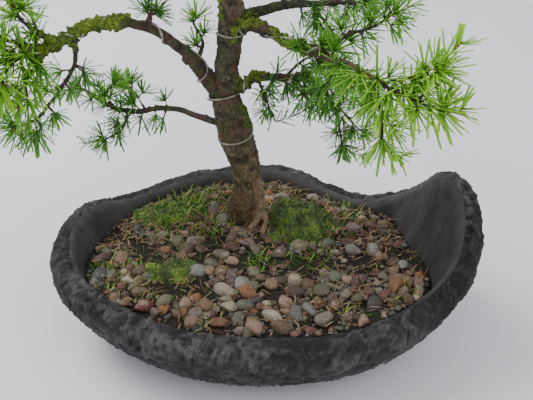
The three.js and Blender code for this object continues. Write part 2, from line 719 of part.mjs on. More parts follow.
const pebbleClear = Object.values(PEBBLES).map((sizes) => {
  const { place, turn } = pebblePlace(sizes);
  return solid(pebblePocket(sizes).rotateZ(turn).translate(place.x, place.y, place.z));
});
for (const [name, sizes] of Object.entries(PEBBLES)) {
  const { place, turn } = pebblePlace(sizes);
  const pebble = add(name, pebbleGeometry(sizes, 0), "gravel");
  pebble.position.copy(place);
  pebble.rotation.z = turn;
}

// ---------------------------------------------------------------- soil, moss and gravel
const screenClear = joined(
  drainPlaces.map((x) => {
    const side = SCREEN_SIZE + 2 * GAP;
    const block = new THREE.BoxGeometry(side, side, 2 * (SCREEN_TOP + GAP - FLOOR));
    return solid(block.translate(x, 0, FLOOR));
  }),
);
const soil = cavity.intersect(groundUpTo(0)).subtract(trunkClear).subtract(screenClear);
add("soil", geometryOf(largest(soil)), "soil");

let keptClear = joined([trunkClear, ...pebbleClear]);
for (const [name, sizes] of Object.entries(MOSS)) {
  const body = cushion(sizes, 0).intersect(aboveSoil).subtract(keptClear);
  add(name, geometryOf(largest(body)), "moss");
  keptClear = keptClear.add(cushion(sizes, GAP));
}

const gravel = aboveSoil.intersect(groundUpTo(GRAVEL_DEPTH)).subtract(keptClear);
add("gravel", geometryOf(largest(gravel)), "gravel");

export default bonsai;
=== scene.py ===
import math
import random

import bmesh
import bpy
from mathutils import Matrix, Vector, noise


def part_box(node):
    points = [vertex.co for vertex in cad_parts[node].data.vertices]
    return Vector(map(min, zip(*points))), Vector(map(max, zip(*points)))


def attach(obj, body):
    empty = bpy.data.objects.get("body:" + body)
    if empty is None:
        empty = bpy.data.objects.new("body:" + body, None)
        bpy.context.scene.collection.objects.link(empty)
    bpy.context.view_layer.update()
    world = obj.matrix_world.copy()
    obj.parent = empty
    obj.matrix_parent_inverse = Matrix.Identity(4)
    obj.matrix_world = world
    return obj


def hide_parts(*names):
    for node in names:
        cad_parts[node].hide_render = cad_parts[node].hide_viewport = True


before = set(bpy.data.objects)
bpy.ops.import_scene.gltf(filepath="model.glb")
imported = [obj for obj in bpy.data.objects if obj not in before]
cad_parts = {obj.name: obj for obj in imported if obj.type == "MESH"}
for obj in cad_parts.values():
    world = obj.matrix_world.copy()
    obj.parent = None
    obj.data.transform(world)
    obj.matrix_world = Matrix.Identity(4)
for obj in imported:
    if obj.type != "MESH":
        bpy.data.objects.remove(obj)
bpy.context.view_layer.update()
MM = 0.001

# ------------------------------------------------------------------ table, light and camera
# A larch bonsai stands on a table with a pale cotton cloth, under soft daylight from a window and a
# weaker lamp. The camera looks down over the pot's front edge at the soil and the lower branches.
TABLE_SIZE = 6.0
CLOTH_SHADE = (0.83, 0.835, 0.86)
CLOTH_WHITE = (0.92, 0.925, 0.95)
SKY = (0.93, 0.95, 1.0, 1)
SKY_STRENGTH = 0.81
WINDOW_POWER = 30
LAMP_POWER = 12
LIT_POINT = (0, 0, 0.1)
CAMERA_PLACE = (0.007, -0.538, 0.511)
CAMERA_TILT = 54
CAMERA_LENS = 57.0
SENSOR_WIDTH = 36

camera_data = bpy.data.cameras.new("camera")
camera_data.sensor_width = SENSOR_WIDTH
camera_data.lens = CAMERA_LENS
camera = bpy.data.objects.new("camera", camera_data)
camera.location = CAMERA_PLACE
camera.rotation_euler = (math.radians(CAMERA_TILT), 0, 0)
bpy.context.scene.collection.objects.link(camera)
bpy.context.scene.camera = camera

world = bpy.data.worlds.new("daylight")
world.use_nodes = True
world.node_tree.nodes["Background"].inputs["Color"].default_value = SKY
world.node_tree.nodes["Background"].inputs["Strength"].default_value = SKY_STRENGTH
bpy.context.scene.world = world


def add_lamp(name, place, power, size):
    lamp = bpy.data.lights.new(name, "AREA")
    lamp.energy = power
    lamp.size = size
    holder = bpy.data.objects.new(name, lamp)
    holder.location = place
    holder.rotation_euler = (Vector(LIT_POINT) - Vector(place)).to_track_quat("-Z", "Y").to_euler()
    bpy.context.scene.collection.objects.link(holder)


add_lamp("window", (-1.1, 0.5, 1.7), WINDOW_POWER, 1.1)
add_lamp("fill", (1.2, -1.1, 1.6), LAMP_POWER, 1.6)


class Socket:
    """The output of a material's node, which sums can be written with."""

    def __init__(self, surface, link):
        self.surface = surface
        self.link = link

    def maths(self, operation, *values):
        return self.surface.node("Math", {"operation": operation}, dict(enumerate(values)))

    def __add__(self, other):
        return self.maths("ADD", self, other)

    def __sub__(self, other):
        return self.maths("SUBTRACT", self, other)

    def __rsub__(self, other):
        return self.maths("SUBTRACT", other, self)

    def __mul__(self, other):
        return self.maths("MULTIPLY", self, other)

    __radd__ = __add__
    __rmul__ = __mul__

    def clamped(self):
        return self.surface.node("Clamp", {}, {"Value": self, "Min": 0.0, "Max": 1.0})

    def above(self, edge, blur):
        """1 where the value is over the edge and 0 below it, with a soft step between."""
        settings = {"interpolation_type": "SMOOTHSTEP"}
        span = {"Value": self, "From Min": edge - blur, "From Max": edge + blur}
        return self.surface.node("MapRange", settings, span)


class Surface:
    """A material on the standard shader, built up one node at a time."""

    def __init__(self, name, **fixed):
        self.material = bpy.data.materials.new(name)
        self.material.use_nodes = True
        self.tree = self.material.node_tree
        self.shader = self.tree.nodes["Principled BSDF"]
        for socket, value in fixed.items():
            title = socket.replace("_", " ").title().replace("Ior", "IOR")
            self.shader.inputs[title].default_value = value
        self.coords = self.node("TexCoord", output="Object")

    def node(self, kind, settings=None, inputs=None, output=0):
        made = self.tree.nodes.new("ShaderNode" + kind)
        for name, value in (settings or {}).items():
            if name == "stops":
                for i, (place, colour) in enumerate(value):
                    stops = made.color_ramp.elements
                    stop = stops[i] if i < 2 else stops.new(place)
                    stop.position = place
                    stop.color = (*colour, 1)
            else:
                setattr(made, name, value)
        for name, value in (inputs or {}).items():
            if isinstance(value, Socket):
                self.tree.links.new(value.link, made.inputs[name])
            else:
                made.inputs[name].default_value = value
        return Socket(self, made.outputs[output])

    def noise(self, scale, detail=3.0, roughness=0.5, stretch=None):
        coords = self.coords
        if stretch:
            coords = self.node("Mapping", {}, {"Vector": coords, "Scale": stretch})
        spread = {"Vector": coords, "Scale": scale, "Detail": detail, "Roughness": roughness}
        return self.node("TexNoise", {}, spread)

    def attribute(self, name, output="Fac"):
        return self.node("Attribute", {"attribute_name": name}, output=output)

    def ramp(self, value, *stops):
        return self.node("ValToRGB", {"stops": stops}, {"Fac": value})

    def mix(self, factor, first, second):
        inputs = {0: factor, 6: self.solid(first), 7: self.solid(second)}
        return self.node("Mix", {"data_type": "RGBA"}, inputs, output=2)

    def solid(self, colour):
        return colour if isinstance(colour, Socket) else (*colour, 1)

    def set(self, name, value):
        self.tree.links.new(value.link, self.shader.inputs[name])

    def bump(self, height, distance, strength):
        return self.node("Bump", {}, {"Height": height, "Distance": distance, "Strength": strength})


cloth = Surface("pale_cloth", roughness=0.9)
folds = cloth.noise(3.5, 2, 0.4, stretch=(1.0, 0.45, 1.0))
cloth.set("Normal", cloth.bump(folds, 0.012, 0.6))
cloth.set("Base Color", cloth.ramp(folds, (0.3, CLOTH_SHADE), (0.7, CLOTH_WHITE)))
table_mesh = bpy.data.meshes.new("table")
bm = bmesh.new()
bmesh.ops.create_grid(bm, x_segments=4, y_segments=4, size=TABLE_SIZE / 2)
bm.to_mesh(table_mesh)
bm.free()
table_mesh.materials.append(cloth.material)
table = bpy.data.objects.new("table", table_mesh)
bpy.context.scene.collection.objects.link(table)

# ------------------------------------------------------------------ pot
# The pot is hand-built from dark clay in the shape of a crescent, with one tall horn. Its outside is
# torn and pitted like rock, its inside is drawn smooth with a wet brush, and it isn't glazed.
POT_LENGTH = 0.326
POT_WIDTH = 0.216
FOOT_LENGTH = 0.212
FOOT_WIDTH = 0.148
LIP = 0.016
FLARE = 0.004
FLOOR = 0.012
SOIL_LEVEL = 0.064
HORN_RISE = 0.070
DRAIN_RADIUS = 0.008
DRAIN_SPACING = 0.096
POT_AROUND = 620
OUTER_ROWS = 36
LIP_ROWS = 14
INNER_ROWS = 30
# The middle of the lip: shares of half the pot's length and width, and of the horn's rise.
LIP_LINE = [
    (1.0, -0.24, 0.76), (0.99, -0.04, 0.97), (0.92, 0.17, 1.0), (0.86, 0.39, 0.64),
    (0.76, 0.58, 0.28), (0.56, 0.66, 0.11), (0.36, 0.82, 0.14), (0.14, 1.0, 0.2),
    (-0.12, 1.01, 0.2), (-0.4, 0.92, 0.16), (-0.69, 0.64, 0.17), (-0.85, 0.36, 0.36),
    (-0.94, 0.06, 0.4), (-0.94, -0.2, 0.29), (-0.87, -0.42, 0.21), (-0.72, -0.62, 0.15),
    (-0.52, -0.8, 0.11), (-0.27, -0.93, 0.1), (0.02, -0.98, 0.1), (0.38, -0.93, 0.09),
    (0.66, -0.75, 0.11), (0.84, -0.57, 0.22), (0.95, -0.42, 0.45),
]


SMALLEST_STEP = 1e-9


def through(points, share, closed=False):
    """The point on a smooth line through points, by the share of the way along their list."""
    count = len(points)
    at = share * (count if closed else count - 1)
    i = math.floor(at) if closed else min(max(math.floor(at), 0), count - 2)
    part = at - i
    if closed:
        before, first, second, after = (points[(i + j) % count] for j in (-1, 0, 1, 2))
    else:
        first, second = points[i], points[i + 1]
        before = points[i - 1] if i > 0 else 2 * first - second
        after = points[i + 2] if i + 2 < count else 2 * second - first
    stretches = ((before, first), (first, second), (second, after))
    step = [max((b - a).length, SMALLEST_STEP) ** 0.5 for a, b in stretches]
    leave = (first - before) / step[0] - (second - before) / (step[0] + step[1])
    leave = (leave + (second - first) / step[1]) * step[1]
    arrive = (after - second) / step[2] - (after - first) / (step[1] + step[2])
    arrive = (arrive + (second - first) / step[1]) * step[1]
    rise = second - first
    bend = 3 * rise - 2 * leave - arrive
    twist = leave + arrive - 2 * rise
    return first + part * (leave + part * (bend + part * twist))


lip_points = [
    Vector((x * POT_LENGTH / 2, y * POT_WIDTH / 2, SOIL_LEVEL + rise * HORN_RISE))
    for x, y, rise in LIP_LINE
]
LIP_STEP = 0.002
BELLY_OUT = 0.72
BELLY_UP = 0.22
# Across the lip, from the outside to the inside: how far outwards, and how far below the crest.
LIP_ROUND = [
    Vector((LIP / 2 + FLARE, LIP + FLARE / 2)),
    Vector((LIP / 2 + 0.75 * FLARE, LIP / 2)),
    Vector((LIP / 2, LIP / 5)),
    Vector((LIP / 4, LIP / 20)),
    Vector((0, 0)),
    Vector((-LIP / 4, LIP / 20)),
    Vector((-LIP / 2, LIP / 3)),
]


def around(share):
    """The lip's middle, the horizontal way out, and the direction from the foot's middle."""
    middle = through(lip_points, share, closed=True)
    ahead = through(lip_points, share + LIP_STEP, closed=True)
    along = ahead - through(lip_points, share - LIP_STEP, closed=True)
    out = Vector((along.y, -along.x, 0)).normalized()
    return middle, out, math.atan2(middle.y / POT_WIDTH, middle.x / POT_LENGTH)


def on_foot(turn, inset, height):
    across = (FOOT_LENGTH / 2 - inset) * math.cos(turn)
    return Vector((across, (FOOT_WIDTH / 2 - inset) * math.sin(turn), height))


def wall(foot, top, share):
    belly = foot.lerp(top, BELLY_OUT)
    belly.z = foot.z + BELLY_UP * (top.z - foot.z)
    return foot.lerp(belly, share).lerp(belly.lerp(top, share), share)


def over_lip(place, share):
    reach, drop = through(LIP_ROUND, share)
    return place[0] + reach * place[1] - Vector((0, 0, drop))


def inner_wall(place, share, clear=0.0):
    top = over_lip(place, 1) - clear * place[1]
    return wall(on_foot(place[2], LIP + clear, FLOOR + clear), top, share)


def pot_point(share, row):
    place = around(share)
    if row <= OUTER_ROWS:
        return wall(on_foot(place[2], 0, 0), over_lip(place, 0), row / OUTER_ROWS)
    if row <= OUTER_ROWS + LIP_ROWS:
        return over_lip(place, (row - OUTER_ROWS) / LIP_ROWS)
    return inner_wall(place, 1 - (row - OUTER_ROWS - LIP_ROWS) / INNER_ROWS)


SEAM_GAP = 1e-7


def wrapped_grid(bm, columns, rows, place_at):
    """A net of columns by rows, closed round into a tube. place_at(share, row) puts each point."""
    bmesh.ops.create_grid(bm, x_segments=columns, y_segments=rows, size=0.5)
    for vert in bm.verts:
        column = round((vert.co.x + 0.5) * columns)
        vert.co = place_at((column % columns) / columns, round((vert.co.y + 0.5) * rows))
    bmesh.ops.remove_doubles(bm, verts=bm.verts, dist=SEAM_GAP)


def finished(name, bm, surface, replaced):
    """The piece made from a bmesh: smooth shaded, riding on the root, standing for CAD nodes."""
    mesh = bpy.data.meshes.new(name)
    bm.to_mesh(mesh)
    bm.free()
    return finished_mesh(name, mesh, surface, replaced)


def finished_mesh(name, mesh, surface, replaced):
    mesh.polygons.foreach_set("use_smooth", [True] * len(mesh.polygons))
    mesh.materials.clear()
    mesh.materials.append(surface.material)
    piece = bpy.data.objects.new(name, mesh)
    bpy.context.scene.collection.objects.link(piece)
    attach(piece, "root")
    if replaced:
        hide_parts(*replaced)
    return piece


def step_between(value, low, high):
    part = min(max((value - low) / (high - low), 0.0), 1.0)
    return part * part * (3 - 2 * part)


def ridges(co, scale, seed, stretch):
    """Sharp ridges with broad hollows between them, from 0 to 1."""
    place = Vector(co[i] * scale * stretch[i] + seed for i in range(3))
    return 1 - abs(noise.noise(place))


def lumps(co, scale, seed):
    return noise.noise(co * scale + Vector((seed, seed, seed)))


def drift(co, scale, *seeds):
    """A direction that wanders from place to place, to bend a pattern out of line."""
    return Vector(lumps(co, scale, seed) for seed in seeds)


CLAY_DRIFT = 0.006
CRAG_DEPTH = 0.0021
PIT_DEPTH = 0.0028
POCK_DEPTH = 0.0040
GRAIN_DEPTH = 0.0009
SWELL_DEPTH = 0.0017
BRUSH_WAVE = 0.0005
BRUSH_GRAIN = 0.00012


def torn_clay(co):
    """How far the torn outside of the pot stands out, in metres, before it fades to the inside."""
    there = co + drift(co, 45, 3, 7, 11) * CLAY_DRIFT
    crag = ridges(there, 70, 5, (1, 1, 1.7)) ** 3 - 0.55
    pit = -max(0.0, ridges(there, 120, 9, (1, 1, 1.3)) ** 6 - 0.55)
    pock = -max(0.0, lumps(there, 230, 15) - 0.18)
    grain = noise.fractal(there * 420, 0.9, 2.1, 3)
    deep = CRAG_DEPTH * crag + PIT_DEPTH * pit + POCK_DEPTH * pock
    return deep + GRAIN_DEPTH * grain + SWELL_DEPTH * lumps(co, 22, 1)


def torn_over(co):
    """How far the torn outside carries on over the lip: a little everywhere, and furthest at the front."""
    return 0.3 + 0.45 * step_between(-co.y, -0.01, 0.05) * step_between(0.135 - co.x, 0, 0.03)


def brushed_clay(co):
    return BRUSH_WAVE * lumps(co, 55, 2) + BRUSH_GRAIN * noise.noise(co * 300)


def set_field(mesh, name, values):
    mesh.attributes.new(name, "FLOAT", "POINT").data.foreach_set("value", values)


DRAIN_SIDES = 48
NEARLY_LEVEL = 0.001
FOOT_FADE = (0.0005, 0.008)
TURN_OUT = (-0.05, 0.55)
HOLLOW_DEPTH = 0.01
RELIEF_SHOWN = 400
bm = bmesh.new()
wrapped_grid(bm, POT_AROUND, OUTER_ROWS + LIP_ROWS + INNER_ROWS, pot_point)
for level in (0, FLOOR):
    low, high = level - NEARLY_LEVEL, level + NEARLY_LEVEL
    rim = [e for e in bm.edges if e.is_boundary and low < e.verts[0].co.z < high]
    for x in (-DRAIN_SPACING / 2, DRAIN_SPACING / 2):
        move = Matrix.Translation((x, 0, (low + high) / 2))
        ring = bmesh.ops.create_circle(bm, segments=DRAIN_SIDES, radius=DRAIN_RADIUS, matrix=move)
        rim += list({edge for vert in ring["verts"] for edge in vert.link_edges})
    bmesh.ops.triangle_fill(bm, use_beauty=True, use_dissolve=False, edges=rim)
for side in (-1, 1):
    bore = [e for e in bm.edges if e.is_boundary and e.verts[0].co.x * side > 0]
    bmesh.ops.bridge_loops(bm, edges=bore)
bmesh.ops.recalc_face_normals(bm, faces=bm.faces)
bm.normal_update()
relief, drawn = [], []
for vert in bm.verts:
    facing = vert.normal.z
    outward = Vector((vert.co.x / POT_LENGTH, vert.co.y / POT_WIDTH, 0)).normalized()
    turned_out = vert.normal.dot(outward) + 0.35 * facing
    outside = step_between(turned_out, *TURN_OUT)
    foot_fade = step_between(vert.co.z, *FOOT_FADE)
    in_hollow = vert.co.z < SOIL_LEVEL - HOLLOW_DEPTH and outside < 0.5
    if not in_hollow:
        outside = step_between(turned_out + torn_over(vert.co), *TURN_OUT)
    torn = torn_clay(vert.co)
    height = outside * torn + (1 - outside) * brushed_clay(vert.co)
    vert.co += vert.normal * height * foot_fade * (0 if in_hollow else 1)
    relief.append(torn * RELIEF_SHOWN)
    drawn.append(1 - outside)
pot_mesh = bpy.data.meshes.new("pot_shell")
bm.to_mesh(pot_mesh)
bm.free()
set_field(pot_mesh, "relief", relief)
set_field(pot_mesh, "drawn", drawn)

# Clay colours: the darkest is painted shade in the pits, the palest a painted highlight on the raised clay.
PAINTED_PIT_SHADE = (0.007, 0.006, 0.007)
CLAY_DARK = (0.024, 0.021, 0.024)
CLAY_GREY = (0.056, 0.051, 0.053)
PAINTED_CLAY_HIGHLIGHT = (0.135, 0.122, 0.126)
BRUSHED_DARK = (0.028, 0.027, 0.026)
BRUSHED_GREY = (0.068, 0.064, 0.061)
CLAY_DUST = (0.34, 0.31, 0.31)
clay = Surface("dark_clay", roughness=0.72)
raised = (clay.attribute("relief") + 0.5).clamped()
inside = clay.attribute("drawn")
mottle = clay.noise(95, 5, 0.62)
blotch = clay.noise(28, 3, 0.5)
grit = clay.noise(330, 3, 0.7)
# The clay's own mottled tone, with a painted highlight on its raised places and painted shade in its pits.
rocky = clay.ramp(
    raised * 0.55 + mottle * 0.35 + grit * 0.45 - 0.18,
    (0.2, PAINTED_PIT_SHADE),
    (0.48, CLAY_DARK),
    (0.68, CLAY_GREY),
    (0.92, PAINTED_CLAY_HIGHLIGHT),
)
wet_brush = clay.noise(70, 3, 0.6, stretch=(0.6, 1.9, 0.5))
smooth_clay = clay.ramp(wet_brush, (0.3, BRUSHED_DARK), (0.7, BRUSHED_GREY))
body_colour = clay.mix(inside.above(0.55, 0.25), rocky, smooth_clay)
dust = clay.noise(520, 2, 0.7).above(0.70, 0.02) * blotch.above(0.44, 0.1)
clay.set("Base Color", clay.mix(dust * 0.7, body_colour, CLAY_DUST))
clay.set("Roughness", 0.62 + 0.25 * mottle - 0.1 * inside)
streaks = clay.noise(150, 2, 0.5, stretch=(0.35, 2.2, 0.35))
fine = clay.noise(380, 6, 0.75)
clay.set("Normal", clay.bump(fine * (1 - 0.8 * inside) + streaks * 0.6 * inside, 0.0018, 0.9))
finished_mesh("pot_shell", pot_mesh, clay, ["pot"])

# ------------------------------------------------------------------ drain screens
# A square of dark plastic mesh lies over each drain hole and keeps the soil in. It is cut from a
# moulded sheet, so the solid's own shape is kept and only its finish is made here.
PLASTIC_DARK = (0.012, 0.013, 0.015)
PLASTIC_WORN = (0.03, 0.032, 0.036)
netting = Surface("dark_netting", roughness=0.55, specular_ior_level=0.4)
weathered = netting.noise(300, 3)
netting.set("Base Color", netting.ramp(weathered, (0.3, PLASTIC_DARK), (0.7, PLASTIC_WORN)))
netting.set("Normal", netting.bump(netting.noise(900, 2), 0.0004, 0.5))
for node in ("drain_screen_left", "drain_screen_right"):
    screen = bpy.data.objects[node]
    screen.data.materials.clear()
    screen.data.materials.append(netting.material)

# ------------------------------------------------------------------ soil
# Dark, crumbly, peaty soil fills the pot to just under the lip and rises in a low mound round the
# trunk. It is wet enough to look almost black between the pebbles.
TRUNK_FOOT = Vector((-0.06 * POT_LENGTH / 2, 0.4 * POT_WIDTH / 2, SOIL_LEVEL))
MOUND_RISE = 0.007
MOUND_REACH = 0.062
WALL_GAP = 0.0009
SOIL_AROUND = 260
SOIL_ROWS = 74
SOIL_WALL_ROWS = 8
SOIL_BOTTOM = FLOOR + 2 * MM
HALVINGS = 14
PEAT_WET = (0.006, 0.005, 0.004)
PEAT_DARK = (0.022, 0.015, 0.010)
PEAT_DRY = (0.07, 0.045, 0.03)
ALGAE = (0.020, 0.032, 0.008)


def ground_at(x, y):
    away = (x - TRUNK_FOOT.x) ** 2 + (y - TRUNK_FOOT.y) ** 2
    return SOIL_LEVEL + MOUND_RISE * math.exp(-away / MOUND_REACH**2)


def soil_edge(share):
    """Where the ground meets the wall, and the share of the way up the wall there."""
    place = around(share)
    low, high = 0.3, 1.0
    for _ in range(HALVINGS):
        middle = (low + high) / 2
        found = inner_wall(place, middle, WALL_GAP)
        if found.z < ground_at(found.x, found.y):
            low = middle
        else:
            high = middle
    return place, low, inner_wall(place, low, WALL_GAP)


soil_edges = [soil_edge(i / SOIL_AROUND) for i in range(SOIL_AROUND)]


def soil_point(share, row):
    place, up_wall, edge = soil_edges[round(share * SOIL_AROUND) % SOIL_AROUND]
    if row == 0:
        return Vector((0, 0, SOIL_BOTTOM))
    if row <= SOIL_WALL_ROWS:
        found = inner_wall(place, up_wall * (row - 1) / (SOIL_WALL_ROWS - 1), WALL_GAP)
        found.z = max(found.z, SOIL_BOTTOM)
        return found
    inwards = (row - SOIL_WALL_ROWS) / (SOIL_ROWS - SOIL_WALL_ROWS)
    found = Vector((edge.x * (1 - inwards), edge.y * (1 - inwards), 0))
    found.z = ground_at(found.x, found.y)
    return found


CRUMB_DEPTH = 0.0011
HUMP_DEPTH = 0.0014
CLOD_DEPTH = 0.0012


def crumbs(co):
    """How far the soil's crumbs, humps and clods stand up, in metres."""
    grain = noise.fractal(co * 260, 0.9, 2.1, 3)
    return CRUMB_DEPTH * grain + HUMP_DEPTH * lumps(co, 70, 4) + CLOD_DEPTH * max(0, lumps(co, 190, 8))


bm = bmesh.new()
wrapped_grid(bm, SOIL_AROUND, SOIL_ROWS, soil_point)
bmesh.ops.recalc_face_normals(bm, faces=bm.faces)
for vert in bm.verts:
    if vert.co.z > SOIL_LEVEL - 1e-4:
        vert.co.z += crumbs(vert.co)
earth = Surface("damp_soil", roughness=0.95)
crumb = earth.noise(240, 6, 0.7)
patch = earth.noise(32, 2, 0.5)
peat = earth.ramp(crumb, (0.35, PEAT_WET), (0.55, PEAT_DARK), (0.75, PEAT_DRY))
algae = patch.above(0.52, 0.08) * crumb.above(0.42, 0.1)
earth.set("Base Color", earth.mix(algae * 0.6, peat, ALGAE))
earth.set("Normal", earth.bump(crumb, 0.002, 0.9))
finished("soil_fill", bm, earth, ["soil"])

edge_turns = sorted((math.atan2(edge.y, edge.x), edge.xy.length) for _, _, edge in soil_edges)


def inside_pot(x, y, margin):
    """Whether a point on the ground is further than a margin from the pot's wall."""
    turn = math.atan2(y, x)
    reach = min(edge_turns, key=lambda edge: abs(edge[0] - turn))[1]
    return math.hypot(x, y) < reach - margin


# ------------------------------------------------------------------ tree skeleton
# The tree grew as one: a leaning trunk that swells where the lowest branches leave it, wired
# branches to both sides, and a crown of short, upward branches. Lines are in millimetres from the
# middle of the trunk at the soil, and each point ends with the radius of the wood.
TRUNK = [
    (0, 0, 0, 14.5), (1, 0, 12, 13), (1, 0, 40, 12.4), (0, 0, 57, 12.2), (-4, 0, 76, 13.6),
    (-8, 0, 90, 14.4), (-11, -1, 106, 13.6), (-14, -2, 122, 11.6),
    (-14, -2, 144, 9.6), (-12, -2, 163, 9.4), (-10, -2, 180, 10), (-9, -2, 200, 9.8),
    (-13, 0, 228, 8.4), (-19, 4, 258, 7), (-15, 6, 290, 5.8), (-6, 3, 322, 4.6),
    (-3, -1, 354, 3.4), (-6, -3, 384, 2.2), (-4, -4, 410, 1),
]
ROOTS = [
    [
        (7, -6, 54, 3.4), (11, -8, 46, 3.6), (13, -10, 28, 3.6), (10, -14, 16, 3.4),
        (3, -19, 10, 2.8), (-5, -24, 4, 2), (-10, -27, -4, 1.4),
    ],
    [(12, -10, 24, 2.6), (16, -17, 18, 2.4), (14, -23, 11, 2.2), (13, -28, 2, 1.8)],
    [(-8, -4, 34, 4.4), (-13, -7, 26, 3.6), (-14, -9, 14, 3), (-15, -11, 0, 2.4)],
    [(-8, 4, 12, 6), (-19, 8, 3, 4.5), (-30, 8, -6, 2.5)],
    [(6, 4, 12, 6), (17, 11, 3, 4), (28, 17, -6, 2.5)],
    [(2, 6, 12, 6), (6, 20, 2, 4), (2, 32, -6, 2.5)],
]
